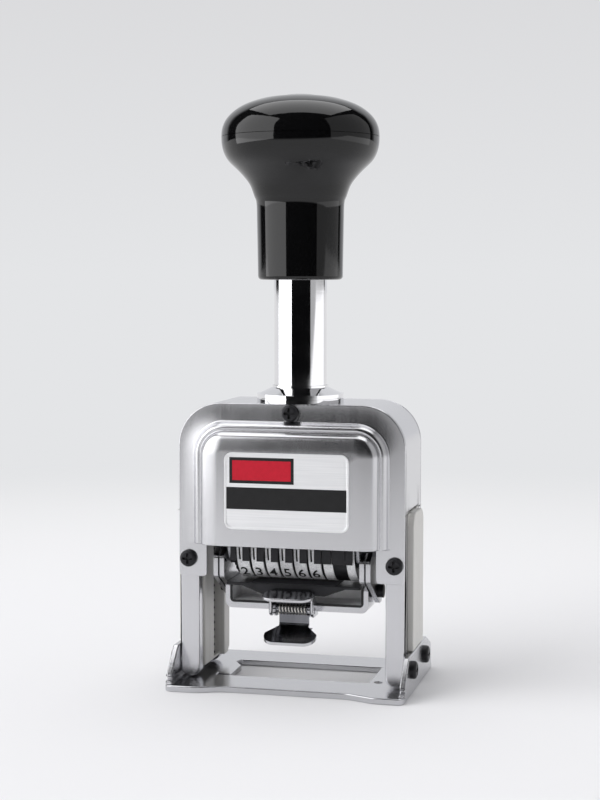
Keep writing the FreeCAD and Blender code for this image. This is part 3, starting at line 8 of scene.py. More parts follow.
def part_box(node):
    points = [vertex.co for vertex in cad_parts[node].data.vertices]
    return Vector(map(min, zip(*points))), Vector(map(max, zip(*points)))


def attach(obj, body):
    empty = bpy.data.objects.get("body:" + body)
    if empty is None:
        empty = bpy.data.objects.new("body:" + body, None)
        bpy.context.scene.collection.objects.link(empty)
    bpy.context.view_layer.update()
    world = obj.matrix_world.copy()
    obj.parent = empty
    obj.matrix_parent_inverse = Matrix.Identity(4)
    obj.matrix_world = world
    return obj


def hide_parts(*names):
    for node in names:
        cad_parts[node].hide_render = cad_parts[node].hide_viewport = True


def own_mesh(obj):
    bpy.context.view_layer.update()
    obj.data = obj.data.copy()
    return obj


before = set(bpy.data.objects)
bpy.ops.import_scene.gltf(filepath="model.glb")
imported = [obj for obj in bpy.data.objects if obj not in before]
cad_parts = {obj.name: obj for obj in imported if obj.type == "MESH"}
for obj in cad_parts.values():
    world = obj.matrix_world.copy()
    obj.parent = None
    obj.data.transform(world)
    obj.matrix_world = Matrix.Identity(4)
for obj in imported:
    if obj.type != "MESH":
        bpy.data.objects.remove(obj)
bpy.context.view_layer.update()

# The camera stands low in front and a little to the right, as a still life of a desk tool is taken.

camera_turn = 0.241045
camera_dip = 0.075577

view = bpy.data.cameras.new("product view")
view.sensor_fit = "VERTICAL"
view.sensor_height = 36
view.lens = 75.61
view.clip_start = 0.01
watcher = bpy.data.objects.new("product view", view)
watcher.location = (0.11282, -0.46120, 0.11614)
watcher.rotation_euler = (math.pi / 2 - camera_dip, 0, camera_turn)
bpy.context.scene.collection.objects.link(watcher)
bpy.context.scene.camera = watcher
bpy.context.scene.view_settings.view_transform = "Standard"

# The studio is a pale sweep with a large soft box at the left, a weaker one at the right and one overhead.
# The paper in front of the sweep runs out into the dark of the room, which only polished metal shows.


def linear(code):
    """The linear colour of an sRGB hex value."""
    parts = [int(code[i:i + 2], 16) / 255 for i in (1, 3, 5)]
    return tuple(c / 12.92 if c <= 0.04045 else ((c + 0.055) / 1.055) ** 2.4 for c in parts) + (1.0,)


def add(tree, kind, sockets, **settings):
    """Adds a shader node. Each socket gets a value, or the output that feeds it."""
    node = tree.nodes.new(kind)
    for name, value in settings.items():
        setattr(node, name, value)
    for name, value in sockets.items():
        if isinstance(value, bpy.types.NodeSocket):
            tree.links.new(value, node.inputs[name])
        else:
            node.inputs[name].default_value = value
    return node


def new_finish(name):
    """A material with an empty node tree."""
    finish = bpy.data.materials.new(name)
    finish.use_nodes = True
    finish.node_tree.nodes.clear()
    return finish, finish.node_tree


def mapped(tree, value, low, high, start=0.3, end=0.7, **settings):
    """Turns a value that runs from start to end into one that runs from low to high."""
    sockets = {0: value, 1: start, 2: end, 3: low, 4: high}
    return add(tree, "ShaderNodeMapRange", sockets, **settings).outputs[0]


def two_tone(tree, share, first, second):
    """Mixes two colours, each an sRGB hex value or an output. A share of 0 is all the first."""
    tones = [linear(tone) if isinstance(tone, str) else tone for tone in (first, second)]
    return add(tree, "ShaderNodeMix", {0: share, 6: tones[0], 7: tones[1]}, data_type="RGBA").outputs[2]


def ray_kinds(tree):
    """Whether a ray comes from the camera, and whether it comes from polished metal or glass."""
    path = add(tree, "ShaderNodeLightPath", {})
    mirrored_or_bent = {0: path.outputs["Is Glossy Ray"], 1: path.outputs["Is Transmission Ray"]}
    shiny = add(tree, "ShaderNodeMath", mirrored_or_bent, operation="MAXIMUM")
    return path.outputs["Is Camera Ray"], shiny.outputs[0]


def new_piece(work, name, finish):
    """Makes an object of a finished bmesh, with one finish."""
    mesh = bpy.data.meshes.new(name)
    work.to_mesh(mesh)
    work.free()
    mesh.materials.append(finish)
    piece = bpy.data.objects.new(name, mesh)
    bpy.context.scene.collection.objects.link(piece)
    return piece


# Lit paper near the object turns into plain background colour further out, so that no horizon shows.
# Distances are in metres from the object, and forwards is towards lower Y.
paper, tree = new_finish("matt background paper")
spot = add(tree, "ShaderNodeTexCoord", {}).outputs["Object"]
span = add(tree, "ShaderNodeVectorMath", {0: spot}, operation="LENGTH").outputs["Value"]
parts = add(tree, "ShaderNodeSeparateXYZ", {0: spot})
far = mapped(tree, span, 0, 1, 0.10, 0.55, interpolation_type="SMOOTHSTEP")
front = mapped(tree, parts.outputs["Y"], 0, 1, -0.92, -0.52, interpolation_type="SMOOTHSTEP")
near = mapped(tree, span, 0, 1, 0.12, 0.30, interpolation_type="SMOOTHSTEP")
lit = add(tree, "ShaderNodeBsdfDiffuse", {"Color": linear("#e4e4e5")}).outputs[0]
even = add(tree, "ShaderNodeEmission", {"Color": two_tone(tree, far, "#efefef", "#e4e5e7")}).outputs[0]
mirrored = add(tree, "ShaderNodeEmission", {"Color": two_tone(tree, front, "#0b0b0c", "#f0f0f1")}).outputs[0]
seen = add(tree, "ShaderNodeMixShader", {0: far, 1: lit, 2: even}).outputs[0]
in_metal = add(tree, "ShaderNodeMixShader", {0: near, 1: lit, 2: mirrored}).outputs[0]
from_camera, from_metal = ray_kinds(tree)
straight = add(tree, "ShaderNodeMixShader", {0: from_camera, 1: lit, 2: seen}).outputs[0]
whole = add(tree, "ShaderNodeMixShader", {0: from_metal, 1: straight, 2: in_metal}).outputs[0]
add(tree, "ShaderNodeOutputMaterial", {"Surface": whole})

work = bmesh.new()
bmesh.ops.create_grid(work, x_segments=1, y_segments=1, size=9.0)
new_piece(work, "floor", paper)

# The room: background colour to the eye, bright behind and dark in front to polished metal, and even grey
# light to the rest.
room = bpy.data.worlds.new("studio room")
bpy.context.scene.world = room
room.use_nodes = True
tree = room.node_tree
tree.nodes.clear()
way = add(tree, "ShaderNodeTexCoord", {}).outputs["Generated"]
rise = add(tree, "ShaderNodeSeparateXYZ", {0: way}).outputs["Z"]
sky = two_tone(tree, mapped(tree, rise, 0, 1, 0.0, 0.20), "#e4e5e7", "#d9d9db")
ahead = {0: way, 1: (-math.sin(camera_turn), math.cos(camera_turn), 0.0)}
facing = add(tree, "ShaderNodeVectorMath", ahead, operation="DOT_PRODUCT").outputs["Value"]
behind = mapped(tree, facing, 0, 1, 0.58, 0.74, interpolation_type="SMOOTHSTEP")
walls = two_tone(tree, behind, "#101011", "#e3e4e7")
from_camera, from_metal = ray_kinds(tree)
soft = two_tone(tree, from_metal, "#bebec0", walls)
glow = add(tree, "ShaderNodeBackground", {"Color": two_tone(tree, from_camera, soft, sky), "Strength": 1.0})
add(tree, "ShaderNodeOutputWorld", {"Surface": glow.outputs[0]})

# Each soft box: name, its brightness in mirrors and its light on plain surfaces where 1 is white, width,
# height, centre, and the point that it faces, in metres. One lamp is seen in metal and its twin lights
# plain surfaces.
for name, glare, level, wide, high, centre, target in (
        ("left soft box", 2.2, 5.4, 1.03, 1.15, (-0.644, -0.392, 0.50), (0, 0, 0.47)),
        ("right soft box", 0.50, 1.9, 1.20, 1.05, (0.75, 0.07, 0.53), (0, 0, 0.50)),
        ("top soft box", 2.0, 3.0, 1.15, 1.05, (-0.062, 0.2525, 1.05), (-0.062, 0.2525, 0))):
    for use, strength in (("mirrored", glare), ("shed", level)):
        lamp = bpy.data.lights.new(name + " " + use, "AREA")
        lamp.shape = "RECTANGLE"
        lamp.size = wide
        lamp.size_y = high
        lamp.energy = strength * math.pi * wide * high
        lamp.color = linear("#fdfdfe")[:3]
        box = bpy.data.objects.new(name + " " + use, lamp)
        box.location = centre
        box.rotation_euler = (Vector(target) - Vector(centre)).to_track_quat("-Z", "Y").to_euler()
        if name == "top soft box":
            box.rotation_euler = (0, 0, camera_turn)
        box.visible_camera = False
        box.visible_glossy = use == "mirrored"
        box.visible_diffuse = use == "shed"
        bpy.context.scene.collection.objects.link(box)

# Base plate: one stamping of plated sheet steel with upturned ears, the window that the figures pass
# through and a pointer at the window's left end. Its rim is rolled over, so a fine bright line runs along
# every edge.


def noise(tree, scale, detail):
    """Noise fixed to the piece. Its scale is in grains per metre; three numbers draw the grains out."""
    spot = add(tree, "ShaderNodeTexCoord", {}).outputs["Object"]
    if isinstance(scale, tuple):
        spot = add(tree, "ShaderNodeMapping", {"Vector": spot, "Scale": scale}).outputs[0]
        scale = 1.0
    return add(tree, "ShaderNodeTexNoise", {"Vector": spot, "Scale": scale, "Detail": detail}).outputs[0]


def blended(tree, share, first, second):
    """Mixes two patterns. A share of 0 is all the first."""
    return add(tree, "ShaderNodeMix", {0: share, 2: first, 3: second}).outputs[0]


def bump(tree, height, strength, distance):
    """Fine relief from a pattern, with its depth in metres."""
    sockets = {"Height": height, "Strength": strength, "Distance": distance}
    return add(tree, "ShaderNodeBump", sockets).outputs[0]


def close(tree, sockets):
    """Ends a material with its shader."""
    shader = add(tree, "ShaderNodeBsdfPrincipled", sockets)
    add(tree, "ShaderNodeOutputMaterial", {"Surface": shader.outputs[0]})


def smooth(work):
    """Shades every face of a bmesh smooth."""
    for face in work.faces:
        face.smooth = True


def rounded_edges(piece, name, width, steps, limit, clamp=False):
    """Rounds the edges of a piece that turn more than limit degrees."""
    rounding = piece.modifiers.new(name, "BEVEL")
    rounding.width = width
    rounding.segments = steps
    rounding.limit_method = "ANGLE"
    rounding.angle_limit = math.radians(limit)
    rounding.use_clamp_overlap = clamp
    rounding.harden_normals = True
    return rounding


def dressed(name, node, body, finish, edge, steps=2, second=None, where=None, clamp=False):
    """A CAD node's skin as one mesh, its sharp edges rounded by edge millimetres, in the node's place.

    Faces that pass the test given as where take the second finish.
    """
    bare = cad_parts[node].data.copy()
    if "custom_normal" in bare.attributes:
        bare.attributes.remove(bare.attributes["custom_normal"])
    work = bmesh.new()
    work.from_mesh(bare)
    bmesh.ops.remove_doubles(work, verts=work.verts, dist=2e-6)
    bmesh.ops.dissolve_limit(work, angle_limit=math.radians(0.8), verts=work.verts, edges=work.edges)
    bmesh.ops.triangulate(work, faces=work.faces)
    work.normal_update()
    smooth(work)
    for face in work.faces:
        if where and where(face):
            face.material_index = 1
    piece = new_piece(work, name, finish)
    if second:
        piece.data.materials.append(second)
    rounded_edges(piece, "rounded edges", edge / 1000, steps, 35, clamp).loop_slide = False
    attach(piece, body)
    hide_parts(node)


# Bright nickel over rolled and brushed steel sheet: soft reflections drawn out along the sheet's grain.
plated_sheet, tree = new_finish("bright nickel on brushed steel sheet")
# Grain lines are 0.05 mm wide on the real sheet. They are drawn at 0.35 mm so that they show.
grain = noise(tree, (110, 2800, 2800), 4.0)
blend = blended(tree, 0.35, grain, noise(tree, 90.0, 3.0))
close(tree, {"Base Color": two_tone(tree, blend, "#bebec1", "#d2d2d5"), "Metallic": 1.0,
             "Roughness": mapped(tree, blend, 0.15, 0.27), "Normal": bump(tree, grain, 0.10, 0.00003)})

dressed("stamped_base", "base_plate", "frame", plated_sheet, 0.35, 3)

# Guides: two extruded rails of warm grey nylon between the front and rear legs, clipped in from the side. A
# proud strip shows outside and a groove inside holds the carriage shoe. The long edges are broken by hand.

nylon, tree = new_finish("extruded warm grey nylon")
draw = noise(tree, (1500, 1500, 45), 3.0)
close(tree, {"Base Color": two_tone(tree, draw, "#b4b2ad", "#d2d1ce"), "IOR": 1.53,
             "Roughness": mapped(tree, noise(tree, 900.0, 2.0), 0.32, 0.50, 0, 1),
             "Normal": bump(tree, draw, 0.15, 0.00005)})

for side in ("left", "right"):
    dressed(side + "_rail", side + "_guide", "frame", nylon, 0.3)

# Main frame: an arch die-cast in zinc, with two legs in front and two behind. It is tumbled, brushed up the
# legs and chrome plated, so flat faces are satin and the leg edges carry a bright line.

plated_casting, tree = new_finish("satin chrome on die-cast zinc")
# Brush lines are 0.04 mm wide on the real casting. They are drawn at 0.4 mm so that they show.
brush = noise(tree, (2500, 2500, 70), 4.0)
blend = blended(tree, 0.4, brush, noise(tree, 120.0, 4.0))
close(tree, {"Base Color": two_tone(tree, blend, "#cbcbce", "#dadadd"), "Metallic": 1.0,
             "Roughness": mapped(tree, blend, 0.21, 0.26), "Normal": bump(tree, brush, 0.012, 0.00003)})

dressed("arch_casting", "main_frame", "frame", plated_casting, 0.6, 3)

# Plunger guide: a turned steel collar with a flange, screwed through the roof and held by a nut below. The
# plunger tube slides in it. Both are ground, buffed and hard chrome plated, with faint rings left by the
# wheel.

chrome, tree = new_finish("hard chrome on buffed steel")
# Buffing rings are a few hundredths of a millimetre apart and are drawn at 0.5 mm.
rings = noise(tree, (25, 25, 2000), 3.0)
haze = noise(tree, 150.0, 4.0)
close(tree, {"Base Color": two_tone(tree, haze, "#dfdfe1", "#ebebed"), "Metallic": 1.0,
             "Roughness": mapped(tree, haze, 0.03, 0.075), "Normal": bump(tree, rings, 0.05, 0.00002)})


def give(finish, *nodes):
    """Puts a finish on CAD nodes that are shown as they are."""
    for node in nodes:
        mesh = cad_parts[node].data
        mesh.materials.clear()
        mesh.materials.append(finish)


give(chrome, "top_collar", "collar_nut", "plunger_tube")

# Knob: two mouldings of black phenolic, a cap screwed and glued over a flared body. They are polished to a
# deep gloss; a hair seam shows at the widest line. Fine dust and a slight unevenness from the mould stay in
# the skin.

phenolic, tree = new_finish("polished black phenolic moulding")
dust = noise(tree, 1600.0, 2.0)
close(tree, {"Base Color": two_tone(tree, dust, "#030303", "#0a0a0b"), "IOR": 1.46,
             "Roughness": mapped(tree, dust, 0.035, 0.085, 0.35, 0.75),
             "Normal": bump(tree, noise(tree, 55.0, 1.0), 0.06, 0.0002)})

give(phenolic, "knob_body", "knob_cap")

# Return springs: blued music wire, one in each side of the frame over the guide rails. They push the
# carriage up again after each stamp, and close to about a third of their length under it.

blued_wire, tree = new_finish("oiled blue-black spring wire")
oil = noise(tree, 700.0, 3.0)
close(tree, {"Base Color": two_tone(tree, oil, "#2a2b2f", "#55565c"), "Metallic": 1.0,
             "Roughness": mapped(tree, oil, 0.22, 0.42, 0, 1)})

wire_r = 0.00025
turns = 20
steps_per_turn = 20
for side in ("left", "right"):
    low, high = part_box(side + "_return_spring")
    axis = (low + high) / 2
    coil_r = (high.x - low.x) / 2 - wire_r
    run = high.z - low.z - 2 * wire_r
    steps = turns * steps_per_turn
    work = bmesh.new()
    wire_end = Vector((axis.x + coil_r, axis.y, low.z + wire_r))
    upright = Matrix.Translation(wire_end) @ Matrix.Rotation(math.pi / 2, 4, "X")
    bmesh.ops.create_circle(work, segments=8, radius=wire_r, matrix=upright)
    bmesh.ops.spin(work, geom=work.edges[:], cent=(axis.x, axis.y, 0), axis=(0, 0, 1),
                   dvec=(0, 0, run / steps), angle=2 * math.pi * turns, steps=steps)
    bmesh.ops.holes_fill(work, edges=[edge for edge in work.edges if edge.is_boundary], sides=0)
    bmesh.ops.recalc_face_normals(work, faces=work.faces)
    smooth(work)
    coil = new_piece(work, side + "_lift_spring", blued_wire)
    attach(coil, "frame")
    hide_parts(side + "_return_spring")
    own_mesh(coil)

# Carriage: a steel head nutted to the tube, a shoe at each end that runs in the guides, and two side plates
# that hang below it. The steel pieces are milled or turned and left grey under a film of oil; the shoes are
# nylon.

machined, tree = new_finish("milled steel, lightly oiled")
cuts = noise(tree, (1800, 160, 1800), 3.0)
close(tree, {"Base Color": two_tone(tree, noise(tree, 220.0, 4.0), "#85868a", "#b4b5b9"), "Metallic": 1.0,
             "Roughness": mapped(tree, cuts, 0.22, 0.38), "Normal": bump(tree, cuts, 0.15, 0.00004)})

give(machined, "carriage_head", "tube_nut", "tie_rod", "wheel_shaft", "shaft_nuts", "knob_screw", "clip_pin")
give(nylon, "left_guide_shoe", "right_guide_shoe")
for side in ("left", "right"):
    dressed(side + "_cheek", side + "_side_plate", "plunger", machined, 0.2)

# Number wheels: turned nickel silver drums with ten engraved figures, filled black. Each drum has a rim for
# its figures and a lower neck at its right side. The ring of figures starts at 1 on every wheel, and the
# row below that reads 2 3 4 5 6 6. Two blank drums of the same metal fill the shaft.

wheel_r = 0.0105
wheel_axis = (-0.0017, 0.040)
wheel_bore_r = 0.0026
wheel_pitch = 0.00412
first_x = -0.014
rim_w = wheel_pitch * 0.86
rim_chamfer = 0.00012
neck_drop = 0.001
side_gap = 0.0001

wheel_metal_with_painted_shade, tree = new_finish("bead-blasted nickel silver with painted shade below the rim")
# Blasting leaves pits of about 0.1 mm, drawn at 0.4 mm.
pits = noise(tree, 2600.0, 3.0)
blend = blended(tree, 0.4, pits, noise(tree, 320.0, 3.0))
tint = two_tone(tree, mapped(tree, blend, 0, 1, 0.35, 0.65), "#c4c5c7", "#f3f3f4")
# Painted shade: the neck and the drum's sides, below the rim, are coloured near black
# for the shade in the gaps between the wheels.
spot = add(tree, "ShaderNodeTexCoord", {}).outputs["Object"]
shaft = {0: spot, 1: (0, *wheel_axis)}
from_shaft = add(tree, "ShaderNodeVectorMath", shaft, operation="SUBTRACT").outputs[0]
flat = add(tree, "ShaderNodeVectorMath", {0: from_shaft, 1: (0, 1, 1)}, operation="MULTIPLY").outputs[0]
reach = add(tree, "ShaderNodeVectorMath", {0: flat}, operation="LENGTH").outputs["Value"]
rim_over_painted_shade = mapped(tree, reach, 0, 1, wheel_r - 0.0005, wheel_r - 0.0002)
close(tree, {"Base Color": two_tone(tree, rim_over_painted_shade, "#1a1a1c", tint), "Metallic": 0.15,
             "Roughness": mapped(tree, pits, 0.34, 0.52), "Normal": bump(tree, pits, 0.25, 0.00006)})

fill, tree = new_finish("black engraving filler")
close(tree, {"Base Color": two_tone(tree, noise(tree, 2400.0, 2.0), "#060607", "#121213"), "Roughness": 0.6})

# The blank drums carry the same painted shade below the rim.
give(wheel_metal_with_painted_shade, "inner_blank_drum", "outer_blank_drum")

row_step = math.radians(36)
top_row = math.radians(13)
dot_lead = math.radians(17.5)
figure_h = 0.0040
figure_w_share = 0.82
one_h_share = 0.9
one_x = 0.00098
figure_x = 0.00170
ink_skin = 0.00003


def flat_figure(sign):
    """A figure or dot lying in the XY plane, on its middle line, cut across so that it can follow a drum."""
    text = bpy.data.curves.new("figure", "FONT")
    text.body = sign
    text.align_x = "CENTER"
    text.size = figure_h / 0.70
    text.offset = 0.00003 if sign == "1" else 0.00008
    text.resolution_u = 6
    holder = bpy.data.objects.new("figure", text)
    bpy.context.scene.collection.objects.link(holder)
    bpy.context.view_layer.update()
    flat = bpy.data.meshes.new_from_object(holder.evaluated_get(bpy.context.evaluated_depsgraph_get()))
    bpy.data.objects.remove(holder)
    one = bmesh.new()
    one.from_mesh(flat)
    bpy.data.meshes.remove(flat)
    bmesh.ops.remove_doubles(one, verts=one.verts, dist=1e-6)
    low = min(vert.co.y for vert in one.verts)
    high = max(vert.co.y for vert in one.verts)
    bmesh.ops.translate(one, verts=one.verts, vec=(0, -(low + high) / 2, 0))
    if sign != ".":
        tall = figure_h * (one_h_share if sign == "1" else 1)
        bmesh.ops.scale(one, verts=one.verts, vec=(figure_w_share, tall / (high - low), 1))
    for step in range(-4, 5):
        bmesh.ops.bisect_plane(one, geom=one.verts[:] + one.edges[:] + one.faces[:],
                               plane_co=(0, step * 0.0005, 0), plane_no=(0, 1, 0))
    bmesh.ops.triangulate(one, faces=one.faces)
    return one


for place, stamped in enumerate("234566"):
    wheel = "wheel_%d" % (place + 1)
    left = first_x + wheel_pitch * (place - 0.5)
    work = bmesh.new()
    outline = [(side_gap, wheel_bore_r), (side_gap, wheel_r - rim_chamfer), (side_gap + rim_chamfer, wheel_r),
               (rim_w - rim_chamfer, wheel_r), (rim_w, wheel_r - rim_chamfer), (rim_w, wheel_r - neck_drop),
               (wheel_pitch - side_gap, wheel_r - neck_drop), (wheel_pitch - side_gap, wheel_bore_r)]
    ring_verts = [work.verts.new((left + x, wheel_axis[0] - r, wheel_axis[1])) for x, r in outline]
    ring_edges = [work.edges.new(pair) for pair in zip(ring_verts, ring_verts[1:] + ring_verts[:1])]
    bmesh.ops.spin(work, geom=ring_verts + ring_edges, cent=(0, *wheel_axis), axis=(1, 0, 0),
                   angle=2 * math.pi, steps=90, use_merge=True)
    bmesh.ops.remove_doubles(work, verts=work.verts, dist=1e-7)
    bmesh.ops.recalc_face_normals(work, faces=work.faces)
    smooth(work)
    for edge in work.edges:
        if len(edge.link_faces) == 2 and edge.calc_face_angle(0) > math.radians(40):
            edge.smooth = False
    drum = new_piece(work, "figure_drum_%d" % (place + 1), wheel_metal_with_painted_shade)
    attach(drum, wheel)
    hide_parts("number_" + wheel)
    ring = ["1", stamped]
    digit = int(stamped)
    while len(ring) < 10:
        digit = (digit + 1) % 10
        if str(digit) not in ring:
            ring.append(str(digit))
    work = bmesh.new()
    for row, sign in enumerate(ring + ["."]):
        # The dot is the mark above the first figure.
        angle = top_row - dot_lead if sign == "." else top_row + row_step * row
        middle_x = left + (one_x if sign in "1." else figure_x)
        one = flat_figure(sign)
        for vert in one.verts:
            turn = angle - vert.co.y / wheel_r
            reach = wheel_r + ink_skin
            vert.co = (middle_x + vert.co.x, wheel_axis[0] - reach * math.cos(turn),
                       wheel_axis[1] - reach * math.sin(turn))
        placed = bpy.data.meshes.new("figure")
        one.to_mesh(placed)
        one.free()
        work.from_mesh(placed)
        bpy.data.meshes.remove(placed)
    figures = new_piece(work, wheel + "_figures", fill)
    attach(figures, wheel)

# Indexing parts: a spring steel comb that stops the wheels, a swinging arm with a pawl that steps them, and
# the selector dial at the left. All are blanked from strip and chemically blacked.

blacked, tree = new_finish("chemically blacked steel")
fine = noise(tree, 2200.0, 2.0)
close(tree, {"Base Color": two_tone(tree, noise(tree, 420.0, 4.0), "#161618", "#2c2c2f"), "Metallic": 0.55,
             "Roughness": mapped(tree, fine, 0.30, 0.48), "Normal": bump(tree, fine, 0.12, 0.00003)})

give(blacked, "detent_comb", "feed_pawl", "selector_dial", "side_plate_screws", "yoke_screws")
dressed("index_strap", "index_arm", "index", blacked, 0.25)

# Ink pad carrier: a yoke bent from bright sheet steel that swings on the wheel shaft, with a second arm
# outside each side. A pale sheet liner sits in its bend, with a black band of painted shade along its front
# edge, and over it a black tray holds the inked felt pad.

liner_with_painted_shade, tree = new_finish("pale nickel sheet with painted shade along its front edge")
dapple = noise(tree, 500.0, 3.0)
spot = add(tree, "ShaderNodeTexCoord", {}).outputs["Object"]
depth_in = add(tree, "ShaderNodeSeparateXYZ", {0: spot}).outputs["Y"]
# Painted shade: in front of this depth the liner is coloured near black, for the shade in the yoke's bend.
inside = mapped(tree, depth_in, 0, 1, -0.0066, -0.0064)
close(tree, {"Base Color": two_tone(tree, inside, "#0d0d0e", two_tone(tree, dapple, "#dededf", "#f0f0f1")),
             "Metallic": 0.15, "Roughness": mapped(tree, dapple, 0.32, 0.46)})


def is_back_wall(face):
    """The yoke's inner back face, which has the liner's finish."""
    return face.normal.y < -0.8 and face.calc_center_median().y > 0.0005


dressed("swing_yoke", "pad_yoke", "inker", plated_sheet, 0.25, 3, liner_with_painted_shade, is_back_wall,
        clamp=True)
for side in ("left", "right"):
    dressed(side + "_swing_arm", side + "_outer_arm", "inker", plated_sheet, 0.4, 4,
            clamp=True)

felt, tree = new_finish("pressed wool felt soaked in ink")
# Fibres are 0.03 mm thick and are drawn at 0.2 mm.
fibre = noise(tree, 4200.0, 4.0)
close(tree, {"Base Color": two_tone(tree, noise(tree, 500.0, 3.0), "#08080b", "#1b1b22"), "Roughness": 0.85,
             "Normal": bump(tree, fibre, 0.6, 0.0001)})

give(felt, "ink_pad")
give(liner_with_painted_shade, "pad_liner")
dressed("ink_tray", "pad_tray", "inker", blacked, 0.2)

# Thumb clip: two tabs bent from plated sheet on a steel pin, with a torsion spring of stainless wire
# between them. Pinching the tabs frees the ink tray. The tabs' thumb faces are painted darker than their
# edges, as painted shade and painted reflection of the dark room.

# Painted shade and painted reflection: a darker copy of the chrome for tab faces that lie in shade or mirror
# the dark room.
chrome_painted_dark, tree = new_finish("smoked chrome on drawn sheet")
pull = noise(tree, (420, 30, 30), 3.0)
close(tree, {"Base Color": two_tone(tree, pull, "#3a3b3f", "#9a9ba0"), "Metallic": 1.0,
             "Roughness": mapped(tree, pull, 0.10, 0.24)})


def is_upper_thumb_face(face):
    """The top of the upper tab's plate, painted dark as shade and dark reflection."""
    return face.normal.z > 0.6 and face.calc_center_median().z > 0.0255


def is_lower_thumb_face(face):
    """The thumb pad's top, and the front of the plate between the spring's ears, painted dark as shade and
    dark reflection.
    """
    middle = face.calc_center_median()
    on_plate = face.normal.y < -0.4 and abs(middle.x) < 0.0050 and middle.z > 0.0140
    return face.normal.z > 0.6 or on_plate


dressed("thumb_plate", "upper_tab", "inker", plated_sheet, 0.25, 3, chrome_painted_dark,
        is_upper_thumb_face)
dressed("finger_lever", "lower_tab", "thumb_lever", plated_sheet, 0.22, 3, chrome_painted_dark,
        is_lower_thumb_face, clamp=True)

bright_wire, tree = new_finish("drawn stainless spring wire")
draw = noise(tree, 900.0, 3.0)
close(tree, {"Base Color": two_tone(tree, draw, "#b2b0aa", "#dcdad4"), "Metallic": 1.0,
             "Roughness": mapped(tree, draw, 0.12, 0.26, 0, 1)})

give(bright_wire, "clip_spring")

# Finger plate: blacked spring sheet, held behind the front cover's lower edge, with one finger hanging over
# the right side of each wheel. It stays with the frame while the wheels go down.

dressed("finger_comb", "finger_plate", "frame", blacked, 0.12)

# Covers: each is drawn from one sheet of steel, with a stepped bead round a proud panel and a lug over each
# leg. The edge is trimmed and rolled, then the cover is buffed and chrome plated. The rear one is drawn
# less deep.

# From the flat rim inwards to the panel: how far in, and how far out of the rim, in millimetres.
bead_section = ((-0.25, 0), (-0.05, 0.05), (0.12, 0.22), (0.3, 0.5), (0.5, 0.84), (0.75, 1.22), (1.0, 1.54),
                (1.3, 1.82), (1.6, 1.97), (1.9, 2.0), (2.15, 1.93), (2.35, 1.8), (2.5, 1.8), (2.65, 1.95),
                (2.8, 2.2), (3.0, 2.55), (3.25, 2.95), (3.55, 3.32), (3.9, 3.62), (4.35, 3.87), (4.9, 4.05),
                (5.5, 4.19), (6.2, 4.32), (7.0, 4.43), (7.9, 4.5))
bead_half_w = 0.0279
bead_root = 0.00025
bead_bend = (0.0185, 0.0657)
cover_half_w = 0.03225
cover_bend = (0.02025, 0.068)
cover_bottom = 0.0405
cover_lug_in = 0.0242
cover_lug_bottom = 0.031
cover_lug_r = 0.0011
cover_sheet = 0.001


def round_the_cover(work, points, corner):
    """Runs a chain of points up a cover's right side, round both upper corners and down its left side."""
    corner_x, corner_z = corner
    chain = [work.verts.new(point) for point in points]
    run = chain + [work.edges.new(pair) for pair in zip(chain, chain[1:])]
    rise = corner_z - cover_bottom
    for bend_x, straight in ((None, (0, 0, rise)), (corner_x, None), (None, (-2 * corner_x, 0, 0)),
                             (-corner_x, None), (None, (0, 0, -rise))):
        if straight:
            turned = bmesh.ops.spin(work, geom=run, cent=(0, 0, 0), axis=(0, 1, 0), dvec=straight, angle=0,
                                    steps=1)
        else:
            turned = bmesh.ops.spin(work, geom=run, cent=(bend_x, 0, corner_z), axis=(0, -1, 0),
                                    angle=math.pi / 2, steps=14)
        run = turned["geom_last"]
    return chain, [part for part in run if isinstance(part, bmesh.types.BMVert)]


def open_edges(work, y):
    """The open edges that lie wholly at one depth."""
    return [edge for edge in work.edges
            if edge.is_boundary and all(abs(vert.co.y - y) < 1e-7 for vert in edge.verts)]


for name, node, face_y, out, depth in (("front_shell", "front_cover", -0.0137, -1, 1.0),
                                       ("rear_shell", "rear_cover", 0.0123, 1, 0.36)):
    work = bmesh.new()
    points = [(bead_half_w - inset / 1000, face_y + out * height * depth / 1000, cover_bottom)
              for inset, height in bead_section]
    round_the_cover(work, points, bead_bend)
    rim_start, rim_end = round_the_cover(work, [(cover_half_w, face_y, cover_bottom)], cover_bend)
    bmesh.ops.contextual_create(work, geom=open_edges(work, points[-1][1]))
    rim = [edge for edge in work.edges if edge.is_wire]
    bmesh.ops.bridge_loops(work, edges=open_edges(work, face_y) + rim)
    for side, corner in ((1, rim_start[0]), (-1, rim_end[0])):
        bead_foot = Vector((side * (bead_half_w + bead_root), face_y, cover_bottom))
        rim_over_painted_shade = [vert for vert in work.verts if abs(vert.co.y - face_y) < 1e-7]
        root = min(rim_over_painted_shade, key=lambda vert: (vert.co - bead_foot).length)
        hang = [work.verts.new((side * x, face_y, z))
                for x, z in ((cover_lug_in, cover_bottom), (cover_lug_in, cover_lug_bottom),
                             (cover_half_w, cover_lug_bottom))]
        bmesh.ops.contextual_create(work, geom=[corner, root] + hang)
        bmesh.ops.bevel(work, geom=hang[1:], affect="VERTICES", offset=cover_lug_r, segments=5, profile=0.5,
                        material=-1)
    bmesh.ops.recalc_face_normals(work, faces=work.faces)
    panel = max(work.faces, key=lambda face: face.calc_area())
    if panel.normal.y * out < 0:
        bmesh.ops.reverse_faces(work, faces=work.faces)
    smooth(work)
    shell = new_piece(work, name, plated_casting)
    wall = shell.modifiers.new("sheet thickness", "SOLIDIFY")
    wall.thickness = cover_sheet
    wall.offset = -1
    wall.use_even_offset = True
    rounded_edges(shell, "rolled edge", 0.00028, 3, 60)
    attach(shell, "frame")
    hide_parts(node)

# Name plate: a foil plate of brushed aluminium with a coined rim, glued to the panel. It is left without
# words: its printed fields, one red in a black frame and one black band, stay bare.

foil, tree = new_finish("brushed aluminium foil plate")
